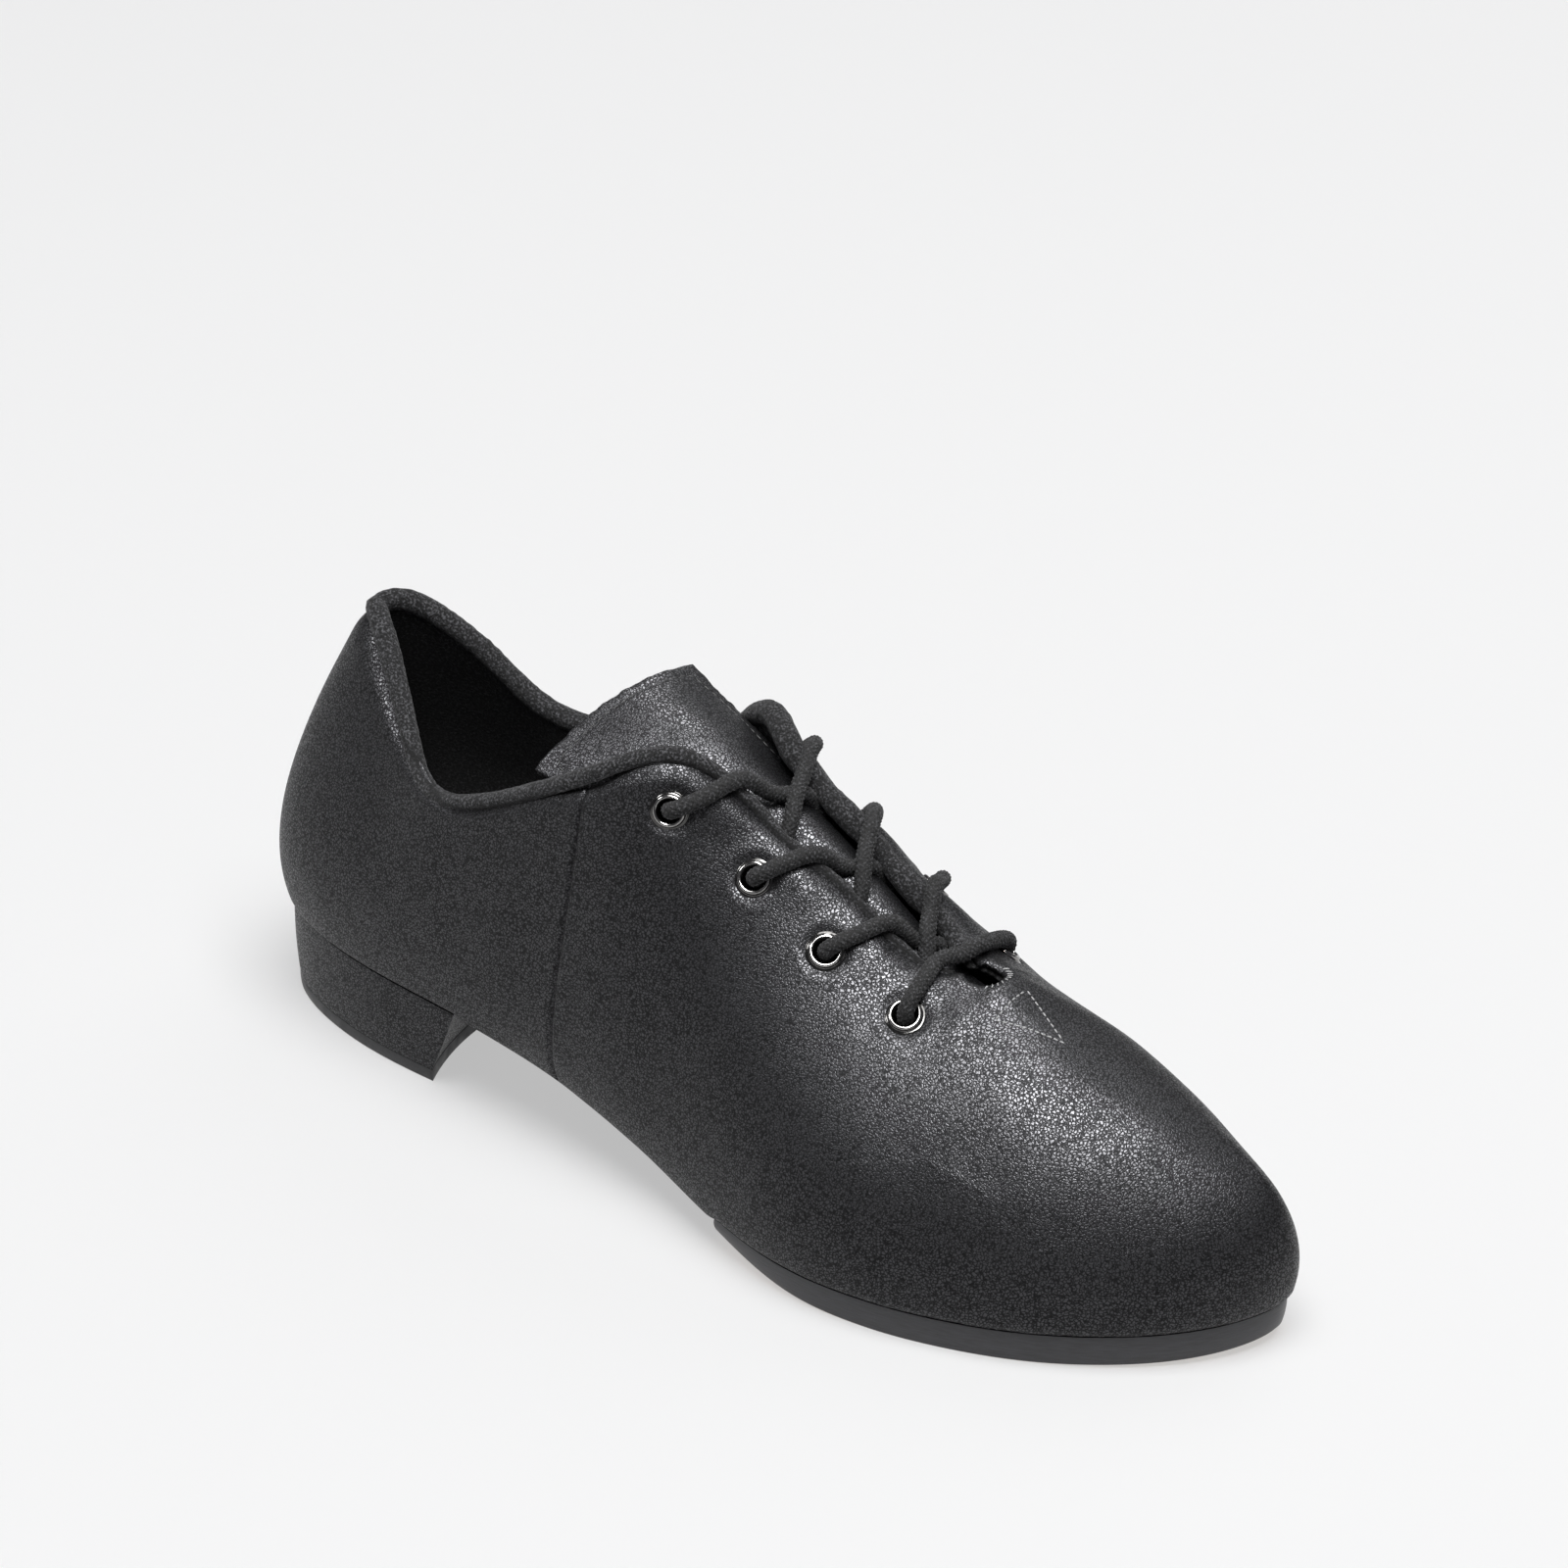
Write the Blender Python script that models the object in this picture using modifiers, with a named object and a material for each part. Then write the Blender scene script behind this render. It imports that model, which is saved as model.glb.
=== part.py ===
"""Right-foot lace-up dance shoe with a split sole, built as a bench-separable assembly.

Metres, +Z up. +X runs from the heel to the toe, +Y to the medial side of the foot.
The origin is the centre of the heel's resting face. Station values are in millimetres
from the back of the heel, and place() turns them into the object's own metres.
"""
import math

import bmesh
import bpy
import numpy as np
from mathutils import Vector

OBJECT_NAME = "dance_shoe"
MM = 0.001

# Driving dimensions, millimetres
HEEL_CENTRE_X = 31.0        # from the back of the heel to the origin
LEATHER = 1.3               # upper leather
STIFFENER = 0.7             # heel counter and toe puff
LINING = 1.0
GAP = 0.3                   # clearance between pieces that touch
STIFFENER_DEPTH = LEATHER + GAP
LINING_DEPTH = STIFFENER_DEPTH + STIFFENER + 2 * GAP
INNER_DEPTH = LINING_DEPTH + LINING
BOARD = 1.5
SOCK = 2.0
BOARD_INSET = 6.5
FILLER_INSET = 15.5
LASTING_MARGIN = 13.0
SOLE_INSET = 1.0
HEEL_INSET_TOP = 0.8
HEEL_INSET_BOTTOM = 2.2
HEEL_BREAST_STATION = 3.14
HEEL_BREAST_BOW = 6.0
HEEL_BREAST_RAKE = 7.0
TOP_LIFT = 3.0
COLLAR_ROLL = 2.9           # radius of the knit roll round the ankle
FACING_ROLL = 2.4           # and of the one along each facing
ROLL_CLEARANCE = 1.2        # from the cut edges of the leather and the lining to the roll
LACE_RADIUS = 1.7
LACE_TURN = 2.4             # bend radius of the lace where it goes through an eyelet
EYELET_HOLE = 2.1
EYELET_BARREL = 2.45
EYELET_FLANGE = 4.0
EYELET_TOP = 1.0            # height of the flange's crown above the leather
EYELET_INNER_GAP = 0.75     # from the lining to the rolled inner end
EYELET_ROLL = 0.5           # thickness of the rolled inner end
EYELET_FROM_EDGE = (10.0, 12.0, 12.0, 12.0)
NAIL_RADIUS = 0.9
NAIL_LENGTH = 17.0

# Stations along each side, from the back of the heel (0) to the tip of the toe (10.5).
SEAM_STATION = 4.0
THROAT_STATION = 7.6
TOE_STATION = 10.5
EYELET_STATIONS = (5.0, 5.74, 6.46, 7.15)
NAIL_PLACES = ((20.0, 0.0), (27.0, -8.0), (27.0, 8.0), (38.0, -6.0), (38.0, 6.0))

# Height of the feather line, where the upper turns under the foot: X and Z.
FEATHER_HEIGHT = (
    (0.0, 22.5), (31.0, 22.5), (60.0, 21.5), (95.0, 17.2), (114.0, 13.2), (127.0, 10.5), (139.0, 8.5),
    (156.0, 7.2), (172.0, 7.0), (197.0, 7.0), (214.0, 7.2), (232.0, 7.8), (246.0, 8.4), (260.0, 9.3),
)
# Each row: station, heading of the outward normal in degrees, feather point,
# (outward, upward) handle at the foot, (outward, downward) handle at the top, top edge.
LATERAL = (
    (0.0, 180, (1.2, 0.0), (8, 20), (11, 24), (14.2, 0.0, 91.0)),
    (1.0, 215, (7.5, -17.5), (8, 20), (11, 24), (20.5, -8.5, 89.0)),
    (2.0, 252, (31.0, -28.0), (6, 20), (10, 24), (40.0, -19.0, 78.5)),
    (3.0, 268, (60.0, -30.5), (5, 18), (5, 18), (62.0, -28.5, 75.3)),
    (4.0, 270, (95.0, -31.2), (8, 14), (2, 24), (99.0, -30.0, 90.2)),
    (4.6, 270, (114.0, -33.3), (8, 14), (5, 22), (109.0, -26.5, 98.0)),
    (5.0, 271, (127.0, -35.7), (7, 16), (8, 18), (118.0, -21.0, 100.8)),
    (5.4, 271, (139.0, -39.0), (6, 20), (14, 16), (128.0, -14.0, 95.5)),
    (6.0, 271, (156.0, -43.5), (5, 20), (20, 19), (144.0, -12.0, 85.5)),
    (6.6, 273, (172.0, -45.5), (5, 20), (24, 18), (160.0, -10.5, 75.8)),
    (7.1, 277, (185.0, -44.5), (5, 20), (26, 13), (174.0, -8.5, 68.0)),
    (7.6, 283, (197.0, -42.0), (4, 20), (24, 4), (187.0, 0.0, 67.5)),
    (8.2, 295, (214.0, -36.0), (4, 18), (24, 2), (205.0, 3.5, 61.0)),
    (8.9, 310, (232.0, -26.0), (4, 16), (20, 4), (224.0, 6.5, 53.3)),
    (9.5, 325, (246.0, -14.0), (4, 14), (15, 5), (238.0, 8.5, 46.2)),
    (10.0, 342, (254.5, -2.0), (4, 13), (11, 6), (245.0, 9.3, 42.5)),
    (10.5, 360, (258.0, 9.5), (4, 12), (9, 6), (248.0, 9.5, 40.5)),
)
MEDIAL = (
    (0.0, 180, (1.2, 0.0), (8, 20), (11, 24), (14.2, 0.0, 91.0)),
    (1.0, 145, (7.5, 17.5), (8, 20), (11, 24), (20.5, 9.5, 90.5)),
    (2.0, 108, (31.0, 28.0), (6, 20), (9, 24), (37.5, 19.5, 77.5)),
    (3.0, 92, (60.0, 28.5), (5, 18), (5, 18), (60.0, 25.0, 66.0)),
    (4.0, 90, (95.0, 25.0), (8, 14), (3, 22), (99.0, 25.0, 80.0)),
    (4.6, 90, (114.0, 24.5), (8, 14), (6, 22), (109.0, 21.5, 90.0)),
    (5.0, 89, (127.0, 25.5), (8, 16), (8, 18), (118.0, 17.5, 94.5)),
    (5.4, 88, (139.0, 28.0), (7, 20), (13, 16), (128.0, 12.5, 91.5)),
    (6.0, 86, (156.0, 33.5), (6, 22), (18, 18), (144.0, 11.5, 83.0)),
    (6.6, 84, (172.0, 38.0), (5, 22), (21, 17), (160.0, 10.5, 74.3)),
    (7.1, 82, (185.0, 39.5), (5, 20), (22, 12), (174.0, 9.0, 67.3)),
    (7.6, 77, (197.0, 39.5), (4, 20), (20, 5), (187.0, 0.0, 67.5)),
    (8.2, 66, (214.0, 37.0), (4, 18), (17, 3), (205.0, 3.5, 61.0)),
    (8.9, 52, (232.0, 31.0), (3, 16), (13, 5), (224.0, 6.5, 53.3)),
    (9.5, 36, (246.0, 23.0), (3, 14), (10, 6), (238.0, 8.5, 46.2)),
    (10.0, 18, (254.5, 17.0), (4, 13), (9, 6), (245.0, 9.3, 42.5)),
    (10.5, 0, (258.0, 9.5), (4, 12), (9, 6), (248.0, 9.5, 40.5)),
)
SIDES = {"lateral": LATERAL, "medial": MEDIAL}

# Where the ribs of the upper are read: under the foot, and from the foot to the top edge.
UNDER_SHARES = (0.0, 0.4, 0.68)
WALL_HEIGHTS = (0.0, 0.12, 0.28, 0.46, 0.64, 0.82, 1.0)

# Share of the way from the lasting margin to the centre line that the upper wraps under.
UNDERWRAP = ((0.0, 0.0), (2.3, 0.0), (3.0, 1.0), (5.8, 1.0), (6.5, 0.0), (10.5, 0.0))
ARCH_CENTRE_Y = -3.0
# How far the underside of the arch hangs below its edges, at each station.
ARCH_CROWN = ((3.1, 0.0), (3.7, 1.2), (4.8, 1.2), (5.5, 0.0))

# Underside of the forefoot sole: station and height.
SOLE_BOTTOM = ((5.62, 4.6), (6.1, 2.2), (6.7, 0.4), (7.2, 0.0), (8.4, 0.0), (9.4, 0.9), (10.5, 2.6))

# Tongue rows: crown x, y and z, half width, edge drop, medial lift, slant along X.
TONGUE = (
    (203.0, 2.5, 53.5, 13.0, 7.0, 0.0, 0.0),
    (190.0, 1.0, 57.5, 16.0, 10.5, 0.0, 0.0),
    (175.0, 0.0, 59.0, 18.0, 17.0, 0.0, 0.0),
    (157.0, -0.5, 68.0, 19.5, 19.0, 0.0, 0.0),
    (137.0, -1.5, 79.5, 19.0, 19.0, 0.0, 0.0),
    (118.0, -4.8, 91.0, 16.8, 18.0, -0.8, 1.5),
    (104.0, -4.0, 99.5, 18.5, 13.0, 4.0, 4.0),
    (88.0, -4.5, 103.0, 18.5, 9.0, 7.0, 6.5),
)
TONGUE_LEATHER = 1.2
TONGUE_LINING = 1.3


def place(points):
    """Station millimetres to the object's metres."""
    return (np.asarray(points, float) - (HEEL_CENTRE_X, 0.0, 0.0)) * MM


def spline(knots, values, at):
    """Natural cubic spline through values, one row for each knot, read at the given places."""
    knots = np.asarray(knots, float)
    values = np.asarray(values, float).reshape(len(knots), -1)
    step = np.diff(knots)
    slope = np.diff(values, axis=0) / step[:, None]
    system = np.eye(len(knots))
    right = np.zeros_like(values)
    for i in range(1, len(knots) - 1):
        system[i, i - 1:i + 2] = step[i - 1], 2 * (step[i - 1] + step[i]), step[i]
        right[i] = 6 * (slope[i] - slope[i - 1])
    bend = np.linalg.solve(system, right)
    at = np.atleast_1d(np.asarray(at, float))
    i = np.clip(np.searchsorted(knots, at, side="right") - 1, 0, len(knots) - 2)
    h = step[i][:, None]
    a = (knots[i + 1] - at)[:, None] / h
    b = 1 - a
    curve = ((a**3 - a) * bend[i] + (b**3 - b) * bend[i + 1]) * h * h / 6
    return a * values[i] + b * values[i + 1] + curve


def around(side):
    """A side's rows, carried on round the heel and the toe by the other side's rows."""
    rows = SIDES[side]
    other = SIDES["medial" if side == "lateral" else "lateral"]
    turn = 360 if side == "lateral" else -360
    behind = [(-row[0], *row[1:]) for row in other[2:0:-1]]
    ahead = [(2 * TOE_STATION - row[0], row[1] + turn, *row[2:]) for row in other[-2:-4:-1]]
    return behind + list(rows) + ahead


def column(side, index, at):
    rows = around(side)
    return spline([row[0] for row in rows], [row[index] for row in rows], at)


def outward(side, at):
    angle = np.radians(column(side, 1, at)[:, 0])
    return np.stack([np.cos(angle), np.sin(angle), 0 * angle], axis=1)


def on_feather_height(points):
    """The same plan positions, at the height of the feather line."""
    height = spline(*zip(*FEATHER_HEIGHT), points[..., 0].ravel()).reshape(points.shape[:-1] + (1,))
    return np.concatenate([points[..., :2], height], axis=-1)


def feather(side, at):
    return on_feather_height(column(side, 2, at))


def top_edge(side, at):
    """The top of the wall: each side's own edge, and the shared ridge from the throat forward."""
    at = np.atleast_1d(at)
    ridge = 0.5 * (column("lateral", 5, at) + column("medial", 5, at))
    return np.where((at >= THROAT_STATION)[:, None], ridge, column(side, 5, at))


def inset_feather(side, at, inset):
    return on_feather_height(feather(side, at) - inset * outward(side, at))


def wall(side, at, heights):
    """The outer surface above the feather line: a rib for each station, 0 foot to 1 top."""
    foot = feather(side, at)
    top = top_edge(side, at)
    heading = outward(side, at)
    up = np.array([0.0, 0.0, 1.0])
    low = column(side, 3, at)
    high = column(side, 4, at)
    foot_handle = foot + low[:, :1] * heading + low[:, 1:] * up
    top_handle = top + high[:, :1] * heading - high[:, 1:] * up
    t = np.asarray(heights, float)[None, :, None]
    corners = (foot, foot_handle, top_handle, top)
    weights = ((1 - t)**3, 3 * t * (1 - t)**2, 3 * t * t * (1 - t), t**3)
    return sum(w * c[:, None] for w, c in zip(weights, corners))


def underwrap(side, at, shares):
    """The part turned under the foot, from its inner edge (0) towards the feather line (1)."""
    foot = feather(side, at)
    margin = inset_feather(side, at, LASTING_MARGIN)
    centre = 0.5 * (feather("lateral", at) + feather("medial", at))
    centre[:, 1] = ARCH_CENTRE_Y
    reach = np.interp(at, *zip(*UNDERWRAP))[:, None]
    inner = margin * (1 - reach) + centre * reach
    t = np.asarray(shares, float)[None, :, None]
    flat = on_feather_height(inner[:, None] * (1 - t) + foot[:, None] * t)
    crown = np.interp(at, *zip(*ARCH_CROWN))[:, None]
    flat[..., 2] -= crown * (1 - t[..., 0]**2)
    return flat


def surface(side, at, shares, heights):
    """Ribs of the upper's outer surface, from the underside to the top edge."""
    return np.concatenate([underwrap(side, at, shares), wall(side, at, heights)], axis=1)


def new_object(name, mesh, collection):
    item = bpy.data.objects.new(name, mesh)
    collection.objects.link(item)
    return item


def weld(bm, distance=1e-6):
    bmesh.ops.remove_doubles(bm, verts=bm.verts, dist=distance)
    bmesh.ops.dissolve_degenerate(bm, edges=bm.edges, dist=1e-7)


def add_grid(bm, points, flip):
    """Quads over a grid of points in station millimetres."""
    rows, columns = points.shape[:2]
    verts = [[bm.verts.new(p) for p in row] for row in place(points)]
    for i in range(rows - 1):
        for j in range(columns - 1):
            ring = [verts[i][j], verts[i + 1][j], verts[i + 1][j + 1], verts[i][j + 1]]
            bm.faces.new(ring[::-1] if flip else ring)
    return verts


def sink(bm, depth):
    """Moves every vertex in from the surface, against its normal."""
    bm.normal_update()
    for vert, normal in [(v, v.normal.copy()) for v in bm.verts]:
        vert.co -= normal * depth * MM


def thicken(item, thickness):
    solid = item.modifiers.new("thickness", "SOLIDIFY")
    solid.thickness = thickness * MM
    solid.offset = -1.0


def make_shell(name, stations, depth, thickness, collection, rows=(0, 99), columns=(0, 99)):
    """A skin that lies a depth inside the outer surface, both sides of the foot in one piece.

    Rows and columns keep only a patch of it. The patch takes its directions from the whole
    surface, so that layers of different extent stay clear of each other.
    """
    bm = bmesh.new()
    outside = []
    for side in SIDES:
        grid = surface(side, stations, UNDER_SHARES, WALL_HEIGHTS)
        across_count = grid.shape[1] - 1
        first = len(bm.faces)
        add_grid(bm, grid, flip=(side == "medial"))
        bm.faces.ensure_lookup_table()
        for number in range(len(bm.faces) - first):
            row, cell = divmod(number, across_count)
            if not (rows[0] <= row < rows[1] and columns[0] <= cell < columns[1]):
                outside.append(bm.faces[first + number])
    for face in outside:
        face.material_index = 1
    weld(bm)
    sink(bm, depth)
    dropped = [face for face in bm.faces if face.material_index == 1]
    bmesh.ops.delete(bm, geom=dropped, context="FACES")
    mesh = bpy.data.meshes.new(name)
    bm.to_mesh(mesh)
    bm.free()
    item = new_object(name, mesh, collection)
    thicken(item, thickness)
    return item


def make_loft(name, top, bottom, collection):
    """A closed slab between two grids of the same layout."""
    bm = bmesh.new()
    upper = add_grid(bm, top, flip=False)
    lower = add_grid(bm, bottom, flip=True)
    rows, columns = top.shape[:2]
    loop = [(i, 0) for i in range(rows)]
    loop += [(rows - 1, j) for j in range(1, columns)]
    loop += [(i, columns - 1) for i in range(rows - 2, -1, -1)]
    loop += [(0, j) for j in range(columns - 2, -1, -1)]
    for (i, j), (k, m) in zip(loop, loop[1:]):
        bm.faces.new([upper[i][j], lower[i][j], lower[k][m], upper[k][m]])
    weld(bm)
    bmesh.ops.recalc_face_normals(bm, faces=bm.faces)
    mesh = bpy.data.meshes.new(name)
    bm.to_mesh(mesh)
    bm.free()
    return new_object(name, mesh, collection)


def across(stations, inset, width_points):
    """A grid between the two feather lines, pulled in by an inset (one, or one per station)."""
    inset = np.broadcast_to(inset, len(stations))[:, None]
    edges = [inset_feather(side, stations, inset) for side in SIDES]
    share = np.linspace(0, 1, width_points)[None, :, None]
    return on_feather_height(edges[0][:, None] * (1 - share) + edges[1][:, None] * share)


def lifted(grid, height):
    return grid + np.array([0.0, 0.0, 1.0]) * height


def plate(name, stations, inset, low, high, collection):
    """A sheet of board or foam that follows the bottom of the foot."""
    grid = across(stations, inset, 5)
    return make_loft(name, lifted(grid, high), lifted(grid, low), collection)


def bowed(grid, stations, bow, rake):
    """Pulls the middle of the front edge back by the bow, and the whole of it back by the rake."""
    share = np.linspace(-1, 1, grid.shape[1])
    late = ((np.asarray(stations) / stations[-1])**6)[:, None]
    shifted = grid.copy()
    shifted[..., 0] -= late * (bow * (1 - share**2)[None, :] + rake)
    return shifted


def heel_stations():
    return np.concatenate([np.linspace(0, 1, 6), np.linspace(1.25, HEEL_BREAST_STATION, 8)])


def heel_section(inset, height, rake):
    stations = heel_stations()
    grid = bowed(across(stations, inset, 5), stations, HEEL_BREAST_BOW, rake)
    if height is not None:
        grid[..., 2] = height
    return grid


def heel_block(collection):
    top = lifted(heel_section(HEEL_INSET_TOP, None, 0.0), -GAP)
    bottom = heel_section(HEEL_INSET_BOTTOM, TOP_LIFT + GAP, HEEL_BREAST_RAKE)
    block = make_loft("heel_block", top, bottom, collection)
    return block


def heel_top_lift(collection):
    top = heel_section(HEEL_INSET_BOTTOM, TOP_LIFT, HEEL_BREAST_RAKE)
    bottom = heel_section(HEEL_INSET_BOTTOM, 0.0, HEEL_BREAST_RAKE)
    return make_loft("heel_top_lift", top, bottom, collection)


def forefoot_sole(collection):
    stations = np.concatenate([np.linspace(5.62, 8.9, 12), np.linspace(9.2, TOE_STATION, 7)])
    top = lifted(across(stations, SOLE_INSET, 5), -GAP)
    bottom = across(stations, SOLE_INSET + 0.6, 5)
    bottom[..., 2] = spline(*zip(*SOLE_BOTTOM), stations)
    return make_loft("forefoot_sole", top, bottom, collection)


def cylinder(name, radius, length, centre, axis, sides, collection):
    """A closed cylinder centred on a point in metres, along an axis."""
    mesh = bpy.data.meshes.new(name)
    bm = bmesh.new()
    bmesh.ops.create_cone(bm, cap_ends=True, segments=sides, radius1=radius, radius2=radius, depth=length)
    bm.to_mesh(mesh)
    bm.free()
    item = new_object(name, mesh, collection)
    item.location = centre
    item.rotation_euler = Vector(axis).to_track_quat("Z", "Y").to_euler()
    return item


def cut(item, cutter):
    bore = item.modifiers.new("bore", "BOOLEAN")
    bore.operation = "DIFFERENCE"
    bore.object = cutter


def as_cutter(item):
    item.hide_render = True
    item.display_type = "WIRE"


def heel_nails(pieces, collection, cutters):
    """Nails driven down through the board and the filler into the heel block."""
    head = feather("lateral", [1.5])[0, 2] + INNER_DEPTH + GAP + BOARD - 0.2
    nails = []
    for number, (x, y) in enumerate(NAIL_PLACES, 1):
        centre = place((x, y, head - NAIL_LENGTH / 2))
        nail = cylinder(f"heel_nail_{number}", NAIL_RADIUS * MM, NAIL_LENGTH * MM, centre, (0, 0, 1), 8, collection)
        bore_centre = place((x, y, head - NAIL_LENGTH / 2 + 1.0))
        bore = cylinder(f"heel_bore_{number}", (NAIL_RADIUS + GAP) * MM, (NAIL_LENGTH + 2.0 + GAP) * MM,
                        bore_centre, (0, 0, 1), 8, cutters)
        as_cutter(bore)
        for piece in pieces:
            cut(piece, bore)
        nails.append(nail)
    return nails


def edge_frame(side, at):
    """Top edge point, direction out of the wall along it, and the outward surface normal."""
    at = np.atleast_1d(at)
    rib = wall(side, at, (0.94, 1.0))
    point = rib[:, 1]
    out = point - rib[:, 0]
    out /= np.linalg.norm(out, axis=1)[:, None]
    step = 0.02
    ahead = top_edge(side, at + step) - top_edge(side, at - step)
    normal = np.cross(ahead, out)
    if side == "medial":
        normal = -normal
    normal /= np.linalg.norm(normal, axis=1)[:, None]
    return point, out, normal


def roll_centre(side, at, radius):
    point, out, normal = edge_frame(side, at)
    return point + out * (radius + ROLL_CLEARANCE) - normal * (INNER_DEPTH / 2)


def tube(name, points, radius, resolution, collection):
    """A round cord or roll through points in station millimetres."""
    curve = bpy.data.curves.new(name, "CURVE")
    curve.dimensions = "3D"
    curve.bevel_depth = radius * MM
    curve.bevel_resolution = resolution
    curve.use_fill_caps = True
    line = curve.splines.new("POLY")
    line.points.add(len(points) - 1)
    for point, position in zip(line.points, place(points)):
        point.co = (*position, 1.0)
    return new_object(name, curve, collection)


def collar_binding(collection):
    lateral = roll_centre("lateral", np.linspace(3.93, 0.0, 20), COLLAR_ROLL)
    medial = roll_centre("medial", np.linspace(0.0, 3.93, 20), COLLAR_ROLL)
    return tube("collar_binding", np.concatenate([lateral, medial[1:]]), COLLAR_ROLL, 2, collection)


def facing_binding(side, collection):
    stations = np.concatenate([np.linspace(4.07, 5.5, 14), np.linspace(5.7, 7.22, 8)])
    return tube(f"facing_binding_{side}", roll_centre(side, stations, FACING_ROLL), FACING_ROLL, 2, collection)


def eyelet_frame(side, station):
    """Centre of an eyelet on the leather, the outward normal and the way to the throat."""
    heights = np.linspace(0.6, 1.0, 81)
    rib = wall(side, [station], heights)[0]
    from_top = np.cumsum(np.linalg.norm(np.diff(rib[::-1], axis=0), axis=1))
    row = 80 - 1 - int(np.searchsorted(from_top, EYELET_FROM_EDGE[EYELET_STATIONS.index(station)]))
    centre = rib[row]
    to_edge = rib[row + 1] - rib[row - 1]
    along = wall(side, [station + 0.05], heights)[0, row] - wall(side, [station - 0.05], heights)[0, row]
    normal = np.cross(along, to_edge) * (1 if side == "lateral" else -1)
    normal /= np.linalg.norm(normal)
    to_edge -= normal * np.dot(to_edge, normal)
    return centre, normal, to_edge / np.linalg.norm(to_edge)


def eyelet_mesh():
    """The half section of a rolled eyelet, counter-clockwise, for a Screw modifier."""
    inside = -INNER_DEPTH - EYELET_INNER_GAP
    profile = [
        (EYELET_HOLE, EYELET_TOP - 0.25), (EYELET_HOLE + 0.6, EYELET_TOP),
        (EYELET_FLANGE - 0.5, 0.85), (EYELET_FLANGE, 0.35),
        (EYELET_BARREL, 0.35), (EYELET_BARREL, inside),
        (EYELET_BARREL + 0.7, inside), (EYELET_BARREL + 0.5, inside - EYELET_ROLL), (EYELET_HOLE, inside - EYELET_ROLL),
    ]
    mesh = bpy.data.meshes.new("eyelet")
    edges = [(i, (i + 1) % len(profile)) for i in range(len(profile))]
    mesh.from_pydata([(r * MM, 0.0, h * MM) for r, h in profile], edges, [])
    return mesh


def eyelets(collection, cutters):
    """Eight eyelets and the bores that the leather and the lining need for them."""
    mesh = eyelet_mesh()
    made = []
    bores = []
    for side in SIDES:
        for number, station in enumerate(EYELET_STATIONS, 1):
            centre, normal, _ = eyelet_frame(side, station)
            item = new_object(f"eyelet_{side}_{number}", mesh, collection)
            item.location = place(centre)
            item.rotation_euler = Vector(normal).to_track_quat("Z", "Y").to_euler()
            turn = item.modifiers.new("turn", "SCREW")
            turn.steps = 14
            turn.render_steps = 14
            turn.use_merge_vertices = True
            turn.merge_threshold = 0.00001
            made.append(item)
            middle = place(centre - normal * INNER_DEPTH / 2)
            bore = cylinder(f"eyelet_bore_{side}_{number}", (EYELET_BARREL + GAP) * MM, 8.0 * MM,
                            middle, normal, 12, cutters)
            as_cutter(bore)
            bores.append(bore)
    return made, bores


def turn_points(centre, normal, direction, start, sign):
    """A quarter turn of the lace, off the eyelet's axis at a height and into a direction."""
    angles = np.linspace(0, math.pi / 2, 4)
    flat = direction - normal * np.dot(direction, normal)
    flat /= np.linalg.norm(flat)
    base = centre + normal * start
    return [base + flat * LACE_TURN * (1 - math.cos(a)) + sign * normal * LACE_TURN * math.sin(a)
            for a in angles]


def lace_over(side, station, direction_point):
    """From on top of the leather down into the eyelet."""
    centre, normal, _ = eyelet_frame(side, station)
    return turn_points(centre, normal, direction_point - centre, EYELET_TOP, 1.0)[::-1]


def lace_under(side, station, direction_point):
    """Out of the eyelet's inner end and along the lining."""
    centre, normal, _ = eyelet_frame(side, station)
    return turn_points(centre, normal, direction_point - centre, EYELET_END, -1.0)


def crossing(side, station, angle):
    """A point where the lace rounds the roll of a facing: 0 degrees over it, 180 under it."""
    _, out, normal = edge_frame(side, station)
    clear = FACING_ROLL + LACE_RADIUS + 0.75
    turned = math.radians(angle)
    return roll_centre(side, station, FACING_ROLL)[0] + clear * (normal[0] * math.cos(turned) + out[0] * math.sin(turned))


EYELET_END = -INNER_DEPTH - EYELET_INNER_GAP - EYELET_ROLL
LACE_SHIFT = 0.16           # stations that a strand moves along before it meets the roll
LACE_CROSS_LIFT = 2.2       # half the height between two strands where they cross


def strand(upper_side, upper, lower_side, lower, high):
    """One diagonal: out of the upper eyelet over its facing, and under the lower facing."""
    over = [crossing(upper_side, upper + LACE_SHIFT * k, a) for k, a in ((1.0, 0), (1.5, 55))]
    under = [crossing(lower_side, lower - LACE_SHIFT * k, a) for k, a in ((1.5, 125), (1.0, 180))]
    lift = LACE_CROSS_LIFT if high else -LACE_CROSS_LIFT
    middle = 0.5 * (over[1] + under[0]) + np.array([0.0, 0.0, lift])
    start = lace_over(upper_side, upper, over[0])[::-1]
    end = lace_under(lower_side, lower, under[1])[::-1]
    return start + over + [middle] + under + end


def lace_end(side, aside):
    """From the inner end of a top eyelet back along the lining, where the end is tucked away."""
    tuck = np.array([-9.0, aside, 1.5])
    top = EYELET_STATIONS[0]
    centre, _, _ = eyelet_frame(side, top)
    turn = lace_under(side, top, centre + tuck)
    return turn + [turn[-1] + tuck * 0.5, turn[-1] + tuck * 1.3]


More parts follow.
